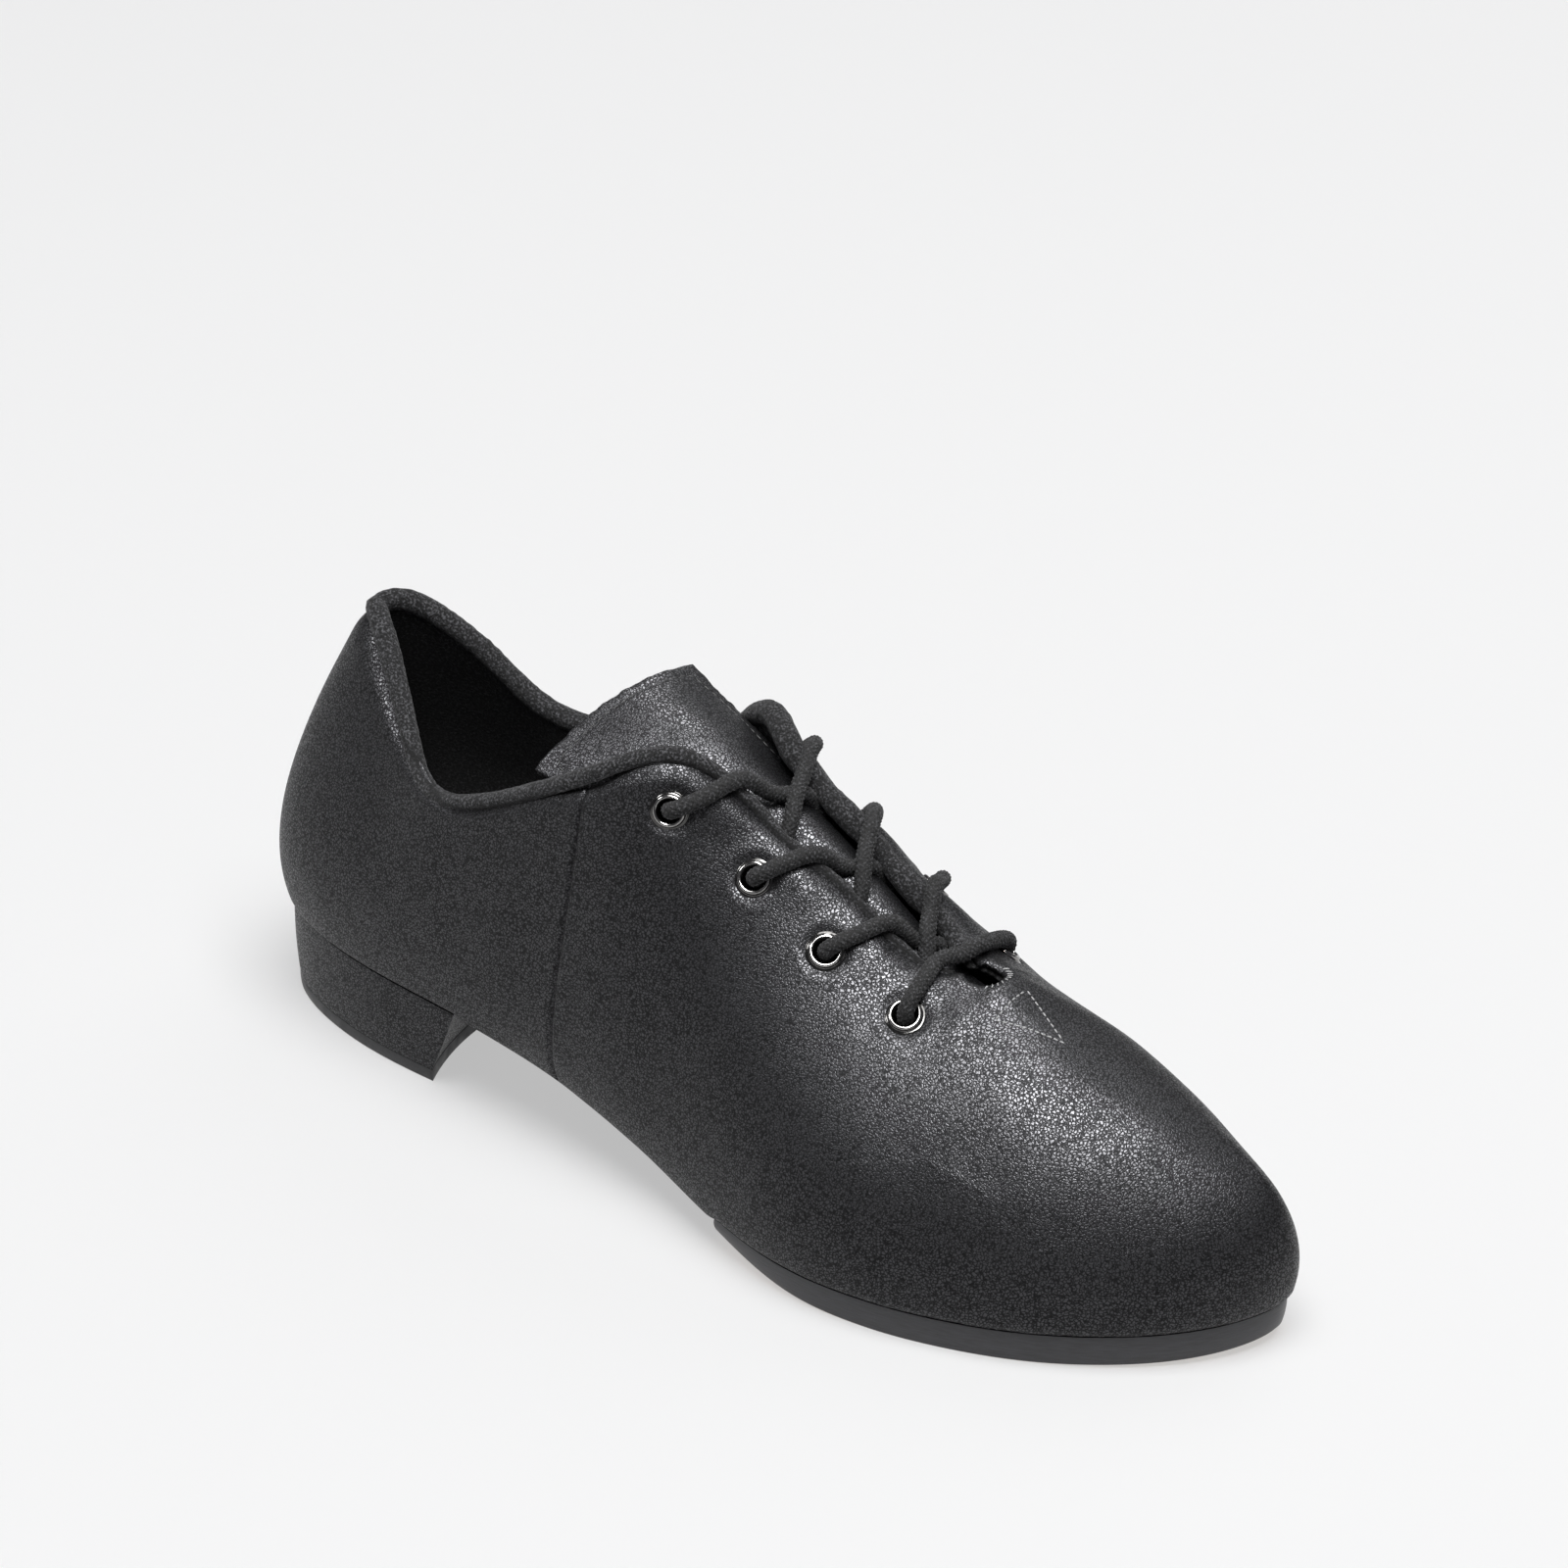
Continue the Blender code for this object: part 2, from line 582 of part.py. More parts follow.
def lace_route():
    """The whole lace: its ends are tucked inside at the top, and a bar crosses at the bottom."""
    first, second, third, fourth = EYELET_STATIONS
    route = lace_end("lateral", 0.0)[::-1]
    route += strand("lateral", first, "medial", second, False)
    route += strand("medial", second, "lateral", third, True)
    route += strand("lateral", third, "medial", fourth, False)
    bar_m = crossing("medial", fourth, 0)
    bar_l = crossing("lateral", fourth, 0)
    route += lace_over("medial", fourth, bar_m)[::-1]
    route += [bar_m, 0.5 * (bar_m + bar_l) + np.array([0.0, 0.0, 0.8]), bar_l]
    route += lace_over("lateral", fourth, bar_l)
    route += strand("medial", third, "lateral", fourth, True)[::-1]
    route += strand("lateral", second, "medial", third, False)[::-1]
    route += strand("medial", first, "lateral", second, True)[::-1]
    route += lace_end("medial", 2.0)
    return np.array(route)


def smooth_route(points, spacing):
    """A spline through the route's own points, with more points read along its long stretches."""
    length = np.concatenate([[0], np.cumsum(np.linalg.norm(np.diff(points, axis=0), axis=1))])
    keep = np.concatenate([[True], np.diff(length) > 0.05])
    knots = length[keep]
    reads = [knots[:1]]
    for start, end in zip(knots, knots[1:]):
        pieces = max(1, round((end - start) / spacing))
        reads.append(np.linspace(start, end, pieces + 1)[1:])
    return spline(knots, points[keep], np.concatenate(reads))


def shoelace(collection):
    points = smooth_route(lace_route(), 4.0)
    return tube("shoelace", points, LACE_RADIUS, 2, collection)


def tongue_grid(rows, columns):
    """The tongue's top surface."""
    knots = np.arange(len(TONGUE))
    values = spline(knots, TONGUE, np.linspace(0, len(TONGUE) - 1, rows))
    share = np.linspace(-1, 1, columns)[None, :]
    x, y, z, half, drop, lift, slant = (values[:, i:i + 1] for i in range(7))
    return np.stack([x + slant * share, y + half * share, z - drop * share**2 + lift * share], axis=2)


def tongue_layer(name, depth, thickness, collection):
    bm = bmesh.new()
    add_grid(bm, tongue_grid(13, 9), flip=True)
    sink(bm, depth)
    mesh = bpy.data.meshes.new(name)
    bm.to_mesh(mesh)
    bm.free()
    item = new_object(name, mesh, collection)
    thicken(item, thickness)
    return item


def material(name, colour, roughness, metallic=0.0):
    shade = bpy.data.materials.new(name)
    shade.use_nodes = True
    shader = shade.node_tree.nodes["Principled BSDF"]
    shader.inputs["Base Color"].default_value = (*colour, 1.0)
    shader.inputs["Roughness"].default_value = roughness
    shader.inputs["Metallic"].default_value = metallic
    return shade


def paint(items, shade):
    for item in items:
        item.data.materials.clear()
        item.data.materials.append(shade)


def main():
    for item in list(bpy.data.objects):
        bpy.data.objects.remove(item)
    parts = bpy.data.collections.new(OBJECT_NAME)
    cutters = bpy.data.collections.new("cutters")
    for collection in (parts, cutters):
        bpy.context.scene.collection.children.link(collection)

    rear = np.concatenate([np.linspace(0, 1.6, 7), np.linspace(2.0, SEAM_STATION - 0.01, 6)])
    front = np.concatenate([np.linspace(SEAM_STATION + 0.02, 7.6, 14), np.linspace(7.9, TOE_STATION, 9)])

    back_quarter = make_shell("back_quarter", rear, 0.0, LEATHER, parts)
    vamp = make_shell("vamp", front, 0.0, LEATHER, parts)
    quarter_lining = make_shell("quarter_lining", rear, LINING_DEPTH, LINING, parts)
    vamp_lining = make_shell("vamp_lining", front, LINING_DEPTH, LINING, parts)
    counter = make_shell("heel_counter", rear, STIFFENER_DEPTH, STIFFENER, parts, (0, 9), (4, 7))
    puff = make_shell("toe_puff", front, STIFFENER_DEPTH, STIFFENER, parts, (17, 22), (4, 8))

    floor = INNER_DEPTH + GAP
    rear_floor = np.concatenate([np.linspace(0, 1, 5), np.linspace(1.4, 3.5, 6)])
    front_floor = np.concatenate([np.linspace(5.3, 8.9, 9), np.linspace(9.3, TOE_STATION, 5)])
    heel_board = plate("heel_insole_board", rear_floor, BOARD_INSET, floor, floor + BOARD, parts)
    fore_board = plate("forefoot_insole_board", front_floor, BOARD_INSET, floor, floor + BOARD, parts)
    sock_low = floor + BOARD + GAP
    heel_sock_stations = np.concatenate([rear_floor, [SEAM_STATION - 0.05]])
    fore_sock_stations = np.concatenate([[SEAM_STATION + 0.05, 4.6], front_floor])
    heel_sock = plate("heel_sock", heel_sock_stations, BOARD_INSET, sock_low, sock_low + SOCK, parts)
    fore_sock = plate("forefoot_sock", fore_sock_stations, BOARD_INSET, sock_low, sock_low + SOCK, parts)
    heel_filler = plate("heel_filler", np.linspace(0, 2.25, 7), FILLER_INSET, GAP, floor - GAP, parts)
    fore_filler = plate("forefoot_filler", np.linspace(6.6, TOE_STATION, 9), FILLER_INSET, GAP,
                        floor - GAP, parts)

    block = heel_block(parts)
    lift = heel_top_lift(parts)
    sole = forefoot_sole(parts)
    nails = heel_nails((heel_board, heel_filler, block), parts, cutters)

    rings, bores = eyelets(parts, cutters)
    for bore in bores:
        cut(vamp, bore)
        cut(vamp_lining, bore)
    bindings = [collar_binding(parts)] + [facing_binding(side, parts) for side in SIDES]
    lace = shoelace(parts)
    tongue = tongue_layer("tongue", 0.0, TONGUE_LEATHER, parts)
    tongue_lining = tongue_layer("tongue_lining", TONGUE_LEATHER + 2 * GAP, TONGUE_LINING, parts)

    paint([back_quarter, vamp, tongue], material("black_leather", (0.018, 0.018, 0.02), 0.42))
    paint([quarter_lining, vamp_lining, tongue_lining], material("black_lining", (0.02, 0.02, 0.021), 0.95))
    paint(bindings, material("knit_binding", (0.016, 0.016, 0.017), 0.97))
    paint([counter, puff, heel_board, fore_board], material("fibre_board", (0.33, 0.24, 0.16), 0.9))
    paint([heel_filler, fore_filler], material("cork", (0.4, 0.27, 0.15), 0.95))
    paint([heel_sock, fore_sock], material("sock_foam", (0.022, 0.022, 0.024), 0.95))
    paint([sole], material("sole_leather", (0.02, 0.019, 0.019), 0.45))
    paint([block], material("heel_cover", (0.018, 0.018, 0.02), 0.4))
    paint([lift], material("rubber", (0.012, 0.012, 0.013), 0.55))
    paint(nails, material("nail_steel", (0.45, 0.45, 0.46), 0.4, 1.0))
    paint(rings[:1], material("black_nickel", (0.09, 0.09, 0.095), 0.28, 1.0))
    paint([lace], material("lace", (0.014, 0.014, 0.015), 0.85))


main()
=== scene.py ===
"""Looks of the dance shoe: leather, knit roll, laces, eyelets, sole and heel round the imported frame.

Shapes are worked out in station millimetres, measured from the back of the heel. The walls come from
the same tables as the CAD; the collar, the tongue and the lace are finer here. place() turns them
into the frame's metres. Bodies: rear, forefoot, tongue_flap.
"""
import itertools
import math

import bmesh
import bpy
import numpy as np
from mathutils import Matrix, Vector
from mathutils.bvhtree import BVHTree

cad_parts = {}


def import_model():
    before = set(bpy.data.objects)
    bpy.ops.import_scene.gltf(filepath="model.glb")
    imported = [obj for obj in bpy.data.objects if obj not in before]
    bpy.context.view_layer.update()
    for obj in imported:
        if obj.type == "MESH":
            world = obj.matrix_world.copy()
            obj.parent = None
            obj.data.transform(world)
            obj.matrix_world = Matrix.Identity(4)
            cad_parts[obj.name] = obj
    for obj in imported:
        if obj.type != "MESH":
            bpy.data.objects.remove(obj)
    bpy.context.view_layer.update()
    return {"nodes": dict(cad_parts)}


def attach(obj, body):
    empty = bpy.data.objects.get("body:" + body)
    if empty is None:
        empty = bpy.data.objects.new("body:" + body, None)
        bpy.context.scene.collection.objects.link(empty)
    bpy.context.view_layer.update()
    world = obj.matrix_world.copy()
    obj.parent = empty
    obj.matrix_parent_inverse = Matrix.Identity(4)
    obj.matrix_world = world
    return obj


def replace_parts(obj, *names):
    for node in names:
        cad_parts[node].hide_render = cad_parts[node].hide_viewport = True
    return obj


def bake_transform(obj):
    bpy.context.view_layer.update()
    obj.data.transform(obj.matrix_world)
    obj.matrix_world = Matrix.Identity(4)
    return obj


MM = 0.001

# Dimensions shared with the CAD, millimetres
HEEL_CENTRE_X = 31.0
LEATHER = 1.3
GAP = 0.3
LINING_DEPTH = 2.9
LINING = 1.0
INNER_DEPTH = LINING_DEPTH + LINING
BOARD = 1.5
SOCK = 2.0
BOARD_INSET = 6.5
LASTING_MARGIN = 13.0
SOLE_INSET = 1.0
HEEL_INSET_TOP = 0.8
HEEL_INSET_BOTTOM = 2.2
HEEL_BREAST_STATION = 3.14
HEEL_BREAST_BOW = 6.0
HEEL_BREAST_RAKE = 7.0
TOP_LIFT = 3.0
EYELET_HOLE = 2.1
EYELET_BARREL = 2.45
EYELET_FROM_EDGE = (10.0, 12.0, 12.0, 12.0)
EYELET_STATIONS = (5.0, 5.74, 6.46, 7.15)
SEAM_STATION = 4.0
THROAT_STATION = 7.6
TOE_STATION = 10.5
ARCH_CENTRE_Y = -3.0
TONGUE_LEATHER = 1.2
TONGUE_LINING = 1.3

# Dimensions of the visible pieces alone, millimetres
LACE_RADIUS = 1.85
EYELET_FLANGE = 4.35
EYELET_END = -INNER_DEPTH - 1.25
EYELET_REACH = 14.0          # how far from an eyelet the leather can be dented by it
HOLE_RADIUS = EYELET_BARREL + 0.35
HOLE_REACH = 9.0
STATION_AT_SEAM = 21.0       # millimetres of wall to a station, beside the side seam
THROAT_REGION = 6.9          # the station where the end of the throat's opening can begin
SOLE_STATION = 5.55          # the station where the forefoot sole begins to carry the upper

# How far the leather's folded edge ends above the wall's own edge: station and rise.
LEATHER_RISE = {
    "lateral": (
        (0.0, 3.0), (1.1, 3.4), (1.9, 0.3), (2.6, 0.0), (3.15, -2.4), (3.6, 0.7), (4.1, 0.0),
        (5.2, 0.2), (5.6, -1.0), (6.2, 0.6), (6.9, 1.2), (7.6, 0.0),
    ),
    "medial": ((0.0, 3.0), (1.1, 3.0), (2.0, 2.4), (4.0, 2.4), (5.0, 1.8), (7.0, 1.2), (7.6, 0.0)),
}
# Top of the knit roll above the wall's own edge: station and height.
ROLL_TOP = {
    "lateral": (
        (0.0, 7.0), (1.3, 7.2), (2.0, 3.0), (3.0, 0.1), (3.4, 2.8), (3.85, 6.0), (4.6, 4.3),
        (5.2, 3.0), (5.75, 1.2), (6.3, 2.5), (6.9, 3.1), (7.6, 1.0),
    ),
    "medial": (
        (0.0, 7.0), (1.0, 7.2), (2.0, 7.0), (3.4, 7.0), (4.3, 6.2), (5.5, 6.0), (7.0, 5.6), (7.6, 4.0),
    ),
}
# Half the roll's thickness: station and size.
ROLL_HALF = {
    "lateral": ((1.4, 2.5), (2.2, 2.1), (3.3, 2.1), (3.8, 2.35), (4.7, 2.05), (5.5, 1.8)),
    "medial": ((1.4, 2.5), (3.8, 2.5), (4.7, 2.8), (6.9, 2.7), (7.3, 2.2)),
}
RISE_REACH = 6.0             # how far down the wall the change of its edge is spread
# The round end of the throat's opening, in plan: X, Y and radius.
THROAT_END = (184.0, 0.0, 4.6)
THROAT_SLACK = 0.4           # how much wider the lining's opening is there
FAR = 100.0                  # added to a distance that is not to count

# Resolution of the visual meshes
STATION_STEP = 0.025
FINE_STATIONS = (3.955, 3.965, 3.98, 3.985, 3.99, 3.995, 4.005, 4.01, 4.015, 4.02, 4.035, 4.045)
UNDER_STEPS = 20
WALL_STEPS = 104
RIM_STEPS = 6
INNER_RIM_STEPS = 4          # for pieces whose rims hardly show
LEATHER_ROUNDS = 260         # rounds of smoothing over the ridge; the lining's grid is coarser
LINING_ROUNDS = 65

# Relief of the leather, millimetres
CURL_REACH = 4.0             # how far from its open edge the leather turns in, and how deep
CURL_DEPTH = 1.7
THROAT_CURL_REACH = 3.0
FOOT_GROOVE = 0.75           # depth and half width of the groove just above the heel and the sole
FOOT_GROOVE_HALF = 2.2
SEAM_GROOVE = 0.6
EYELET_DENT = 0.75
FACING_START = 4.35          # the station where the facing begins, behind the first eyelet
FACING_PUFF = 0.75           # how far the facing swells between two eyelets
PUFF_FROM_EDGE = 5.0
PUFF_HALF = 4.6

# Height of the feather line, where the upper turns under the foot: X and Z.
FEATHER_HEIGHT = (
    (0.0, 22.5), (31.0, 22.5), (60.0, 21.5), (95.0, 17.2), (114.0, 13.2), (127.0, 10.5), (139.0, 8.5),
    (156.0, 7.2), (172.0, 7.0), (197.0, 7.0), (214.0, 7.2), (232.0, 7.8), (246.0, 8.4), (260.0, 9.3),
)
# Each row: station, heading of the outward normal in degrees, feather point,
# (outward, upward) handle at the foot, (outward, downward) handle at the top, top edge.
LATERAL = (
    (0.0, 180, (1.2, 0.0), (8, 20), (11, 24), (14.2, 0.0, 91.0)),
    (1.0, 215, (7.5, -17.5), (8, 20), (11, 24), (20.5, -8.5, 89.0)),
    (2.0, 252, (31.0, -28.0), (6, 20), (10, 24), (40.0, -19.0, 78.5)),
    (3.0, 268, (60.0, -30.5), (5, 18), (5, 18), (62.0, -28.5, 75.3)),
    (4.0, 270, (95.0, -31.2), (8, 14), (2, 24), (99.0, -30.0, 90.2)),
    (4.6, 270, (114.0, -33.3), (8, 14), (5, 22), (109.0, -26.5, 98.0)),
    (5.0, 271, (127.0, -35.7), (7, 16), (8, 18), (118.0, -21.0, 100.8)),
    (5.4, 271, (139.0, -39.0), (6, 20), (14, 16), (128.0, -14.0, 95.5)),
    (6.0, 271, (156.0, -43.5), (5, 20), (20, 19), (144.0, -12.0, 85.5)),
    (6.6, 273, (172.0, -45.5), (5, 20), (24, 18), (160.0, -10.5, 75.8)),
    (7.1, 277, (185.0, -44.5), (5, 20), (26, 13), (174.0, -8.5, 68.0)),
    (7.6, 283, (197.0, -42.0), (4, 20), (24, 4), (187.0, 0.0, 67.5)),
    (8.2, 295, (214.0, -36.0), (4, 18), (24, 2), (205.0, 3.5, 61.0)),
    (8.9, 310, (232.0, -26.0), (4, 16), (20, 4), (224.0, 6.5, 53.3)),
    (9.5, 325, (246.0, -14.0), (4, 14), (15, 5), (238.0, 8.5, 46.2)),
    (10.0, 342, (254.5, -2.0), (4, 13), (11, 6), (245.0, 9.3, 42.5)),
    (10.5, 360, (258.0, 9.5), (4, 12), (9, 6), (248.0, 9.5, 40.5)),
)
MEDIAL = (
    (0.0, 180, (1.2, 0.0), (8, 20), (11, 24), (14.2, 0.0, 91.0)),
    (1.0, 145, (7.5, 17.5), (8, 20), (11, 24), (20.5, 9.5, 90.5)),
    (2.0, 108, (31.0, 28.0), (6, 20), (9, 24), (37.5, 19.5, 77.5)),
    (3.0, 92, (60.0, 28.5), (5, 18), (5, 18), (60.0, 25.0, 66.0)),
    (4.0, 90, (95.0, 25.0), (8, 14), (3, 22), (99.0, 25.0, 80.0)),
    (4.6, 90, (114.0, 24.5), (8, 14), (6, 22), (109.0, 21.5, 90.0)),
    (5.0, 89, (127.0, 25.5), (8, 16), (8, 18), (118.0, 17.5, 94.5)),
    (5.4, 88, (139.0, 28.0), (7, 20), (13, 16), (128.0, 12.5, 91.5)),
    (6.0, 86, (156.0, 33.5), (6, 22), (18, 18), (144.0, 11.5, 83.0)),
    (6.6, 84, (172.0, 38.0), (5, 22), (21, 17), (160.0, 10.5, 74.3)),
    (7.1, 82, (185.0, 39.5), (5, 20), (22, 12), (174.0, 9.0, 67.3)),
    (7.6, 77, (197.0, 39.5), (4, 20), (20, 5), (187.0, 0.0, 67.5)),
    (8.2, 66, (214.0, 37.0), (4, 18), (17, 3), (205.0, 3.5, 61.0)),
    (8.9, 52, (232.0, 31.0), (3, 16), (13, 5), (224.0, 6.5, 53.3)),
    (9.5, 36, (246.0, 23.0), (3, 14), (10, 6), (238.0, 8.5, 46.2)),
    (10.0, 18, (254.5, 17.0), (4, 13), (9, 6), (245.0, 9.3, 42.5)),
    (10.5, 0, (258.0, 9.5), (4, 12), (9, 6), (248.0, 9.5, 40.5)),
)
SIDES = {"lateral": LATERAL, "medial": MEDIAL}

# Share of the way from the lasting margin to the centre line that the upper wraps under.
UNDERWRAP = ((0.0, 0.0), (2.3, 0.0), (3.0, 1.0), (5.8, 1.0), (6.5, 0.0), (10.5, 0.0))
# How far the underside of the arch hangs below its edges, at each station.
ARCH_CROWN = ((3.1, 0.0), (3.7, 1.2), (4.8, 1.2), (5.5, 0.0))
# Underside of the forefoot sole: station and height.
SOLE_BOTTOM = ((5.62, 4.6), (6.1, 2.2), (6.7, 0.4), (7.2, 0.0), (8.4, 0.0), (9.4, 0.9), (10.5, 2.6))

# Tongue rows: crown x, y and z, half width, edge drop, medial lift, slant along X. The medial side
# stands higher than the CAD's.
TONGUE = (
    (203.0, 2.5, 53.5, 13.0, 7.0, 0.0, 0.0),
    (190.0, 1.0, 57.5, 16.0, 10.5, 0.0, 0.0),
    (175.0, 0.0, 59.0, 18.0, 17.0, 0.0, 0.0),
    (157.0, -0.5, 68.0, 19.5, 17.0, 2.5, 0.0),
    (137.0, -1.5, 79.5, 19.0, 11.5, 6.0, 0.0),
    (118.0, -4.8, 91.0, 16.8, 9.0, 8.5, 1.5),
    (104.0, -4.0, 98.0, 18.5, 10.0, 5.5, 4.0),
    (88.0, -4.5, 99.0, 18.5, 5.0, 7.0, 6.5),
)


# ---------------------------------------------------------------- the last's curves

def place(points):
    """Station millimetres to the frame's metres."""
    return (np.asarray(points, float) - (HEEL_CENTRE_X, 0.0, 0.0)) * MM


def spline(knots, values, at):
    """Natural cubic spline through values, one row for each knot, read at the given places."""
    knots = np.asarray(knots, float)
    values = np.asarray(values, float).reshape(len(knots), -1)
    step = np.diff(knots)
    slope = np.diff(values, axis=0) / step[:, None]
    system = np.eye(len(knots))
    right = np.zeros_like(values)
    for i in range(1, len(knots) - 1):
        system[i, i - 1:i + 2] = step[i - 1], 2 * (step[i - 1] + step[i]), step[i]
        right[i] = 6 * (slope[i] - slope[i - 1])
    bend = np.linalg.solve(system, right)
    at = np.atleast_1d(np.asarray(at, float))
    i = np.clip(np.searchsorted(knots, at, side="right") - 1, 0, len(knots) - 2)
    h = step[i][:, None]
    a = (knots[i + 1] - at)[:, None] / h
    b = 1 - a
    curve = ((a**3 - a) * bend[i] + (b**3 - b) * bend[i + 1]) * h * h / 6
    return a * values[i] + b * values[i + 1] + curve


def around(side):
    """A side's rows, carried on round the heel and the toe by the other side's rows."""
    rows = SIDES[side]
    other = SIDES["medial" if side == "lateral" else "lateral"]
    turn = 360 if side == "lateral" else -360
    behind = [(-row[0], *row[1:]) for row in other[2:0:-1]]
    ahead = [(2 * TOE_STATION - row[0], row[1] + turn, *row[2:]) for row in other[-2:-4:-1]]
    return behind + list(rows) + ahead


def column(side, index, at):
    rows = around(side)
    return spline([row[0] for row in rows], [row[index] for row in rows], at)


def outward(side, at):
    angle = np.radians(column(side, 1, at)[:, 0])
    return np.stack([np.cos(angle), np.sin(angle), 0 * angle], axis=1)


def on_feather_height(points):
    """The same plan positions, at the height of the feather line."""
    height = spline(*zip(*FEATHER_HEIGHT), points[..., 0].ravel()).reshape(points.shape[:-1] + (1,))
    return np.concatenate([points[..., :2], height], axis=-1)


def feather(side, at):
    return on_feather_height(column(side, 2, at))


def top_edge(side, at):
    """The top of the wall: each side's own edge, and the shared ridge from the throat forward."""
    at = np.atleast_1d(at)
    ridge = 0.5 * (column("lateral", 5, at) + column("medial", 5, at))
    return np.where((at >= THROAT_STATION)[:, None], ridge, column(side, 5, at))


def inset_feather(side, at, inset):
    return on_feather_height(feather(side, at) - inset * outward(side, at))


def wall(side, at, heights):
    """The outer surface above the feather line: a rib for each station, 0 foot to 1 top."""
    foot = feather(side, at)
    top = top_edge(side, at)
    heading = outward(side, at)
    up = np.array([0.0, 0.0, 1.0])
    low = column(side, 3, at)
    high = column(side, 4, at)
    foot_handle = foot + low[:, :1] * heading + low[:, 1:] * up
    top_handle = top + high[:, :1] * heading - high[:, 1:] * up
    t = np.asarray(heights, float)[None, :, None]
    corners = (foot, foot_handle, top_handle, top)
    weights = ((1 - t)**3, 3 * t * (1 - t)**2, 3 * t * t * (1 - t), t**3)
    return sum(w * c[:, None] for w, c in zip(weights, corners))


def underwrap(side, at, shares):
    """The part turned under the foot, from its inner edge (0) towards the feather line (1)."""
    foot = feather(side, at)
    margin = inset_feather(side, at, LASTING_MARGIN)
    centre = 0.5 * (feather("lateral", at) + feather("medial", at))
    centre[:, 1] = ARCH_CENTRE_Y
    reach = np.interp(at, *zip(*UNDERWRAP))[:, None]
    inner = margin * (1 - reach) + centre * reach
    t = np.asarray(shares, float)[None, :, None]
    flat = on_feather_height(inner[:, None] * (1 - t) + foot[:, None] * t)
    crown = np.interp(at, *zip(*ARCH_CROWN))[:, None]
    flat[..., 2] -= crown * (1 - t[..., 0]**2)
    return flat


def edge_frame(side, at):
    """Top edge point, direction out of the wall along it, and the outward surface normal."""
    at = np.atleast_1d(at)
    rib = wall(side, at, (0.94, 1.0))
    point = rib[:, 1]
    out = point - rib[:, 0]
    out /= np.linalg.norm(out, axis=1)[:, None]
    step = 0.02
    ahead = top_edge(side, at + step) - top_edge(side, at - step)
    normal = np.cross(ahead, out)
    if side == "medial":
        normal = -normal
    normal /= np.linalg.norm(normal, axis=1)[:, None]
    return point, out, normal


def wall_frame(side, station, from_top):
    """A point of the wall a distance below its top edge, the outward normal and the way up."""
    heights = np.linspace(0.6, 1.0, 161)
    rib = wall(side, [station], heights)[0]
    run = np.cumsum(np.linalg.norm(np.diff(rib[::-1], axis=0), axis=1))
    row = len(heights) - 2 - int(np.searchsorted(run, from_top))
    to_edge = rib[row + 1] - rib[row - 1]
    behind, ahead = (wall(side, [station + step], heights)[0, row] for step in (-0.05, 0.05))
    along = ahead - behind
    normal = np.cross(along, to_edge) * (1 if side == "lateral" else -1)
    normal /= np.linalg.norm(normal)
    to_edge -= normal * np.dot(to_edge, normal)
    return rib[row], normal, to_edge / np.linalg.norm(to_edge)


def eyelet_frame(side, station):
    return wall_frame(side, station, EYELET_FROM_EDGE[EYELET_STATIONS.index(station)])


def eyelet_frames():
    return [eyelet_frame(side, station) for side in SIDES for station in EYELET_STATIONS]


def across(stations, inset, width_points):
    """A grid between the two feather lines, pulled in by an inset (one, or one per station)."""
    inset = np.broadcast_to(inset, len(stations))[:, None]
    edges = [inset_feather(side, stations, inset) for side in SIDES]
    share = np.linspace(0, 1, width_points)[None, :, None]
    return on_feather_height(edges[0][:, None] * (1 - share) + edges[1][:, None] * share)


# ---------------------------------------------------------------- mesh tools

def smooth_step(values):
    values = np.clip(values, 0.0, 1.0)
    return values * values * (3 - 2 * values)


def noise(points, size, seed):
    """Smooth random values from -1 to 1, with features of the given size in millimetres."""
    table = np.random.default_rng(seed).uniform(-1, 1, 8192)
    cell = np.asarray(points, float) / size
    base = np.floor(cell).astype(np.int64)
    part = smooth_step(cell - base)
    total = np.zeros(len(cell))
    for corner in itertools.product((0, 1), repeat=3):
        at = base + corner
        key = (at[:, 0] * 73856093) ^ (at[:, 1] * 19349663) ^ (at[:, 2] * 83492791)
        weight = np.prod(np.where(corner, part, 1 - part), axis=1)
        total += weight * table[key & 8191]
    return total


def quads(rows, columns, flip=False, loop=False):
    """Faces over a grid of points, rows by columns; loop joins the last column to the first."""
    i, j = np.meshgrid(np.arange(rows - 1), np.arange(columns if loop else columns - 1), indexing="ij")
    k = (j + 1) % columns
    ring = [i * columns + j, (i + 1) * columns + j, (i + 1) * columns + k, i * columns + k]
    faces = np.stack([part.ravel() for part in ring], axis=1)
    return faces[:, ::-1] if flip else faces


def sew(points, faces):
    """Coincident points made one: the kept points' numbers, and the faces over them."""
    _, first, index = np.unique(np.round(points, 4), axis=0, return_index=True, return_inverse=True)
    return first, index.reshape(-1)[faces]


def drop_unused(faces, *tables):
    """Faces over only the points they use, and the rows of each table for those points."""
    used, index = np.unique(faces, return_inverse=True)
    return (index.reshape(faces.shape), *(table[used] for table in tables))


def normals_of(points, faces):
    corners = points[faces]
    facing = np.cross(corners[:, 2] - corners[:, 0], corners[:, 3] - corners[:, 1])
    total = np.zeros_like(points)
    for k in range(4):
        np.add.at(total, faces[:, k], facing)
    # Where the grid's lines run together, small faces can turn over: their neighbours decide.
    shared = total[faces].sum(axis=1)
    spread = np.zeros_like(points)
    for k in range(4):
        np.add.at(spread, faces[:, k], shared)
    spread /= np.maximum(np.linalg.norm(spread, axis=1), 1e-12)[:, None]
    total /= np.maximum(np.linalg.norm(total, axis=1), 1e-12)[:, None]
    return np.where((total * spread).sum(axis=1)[:, None] > 0.9, total, spread)


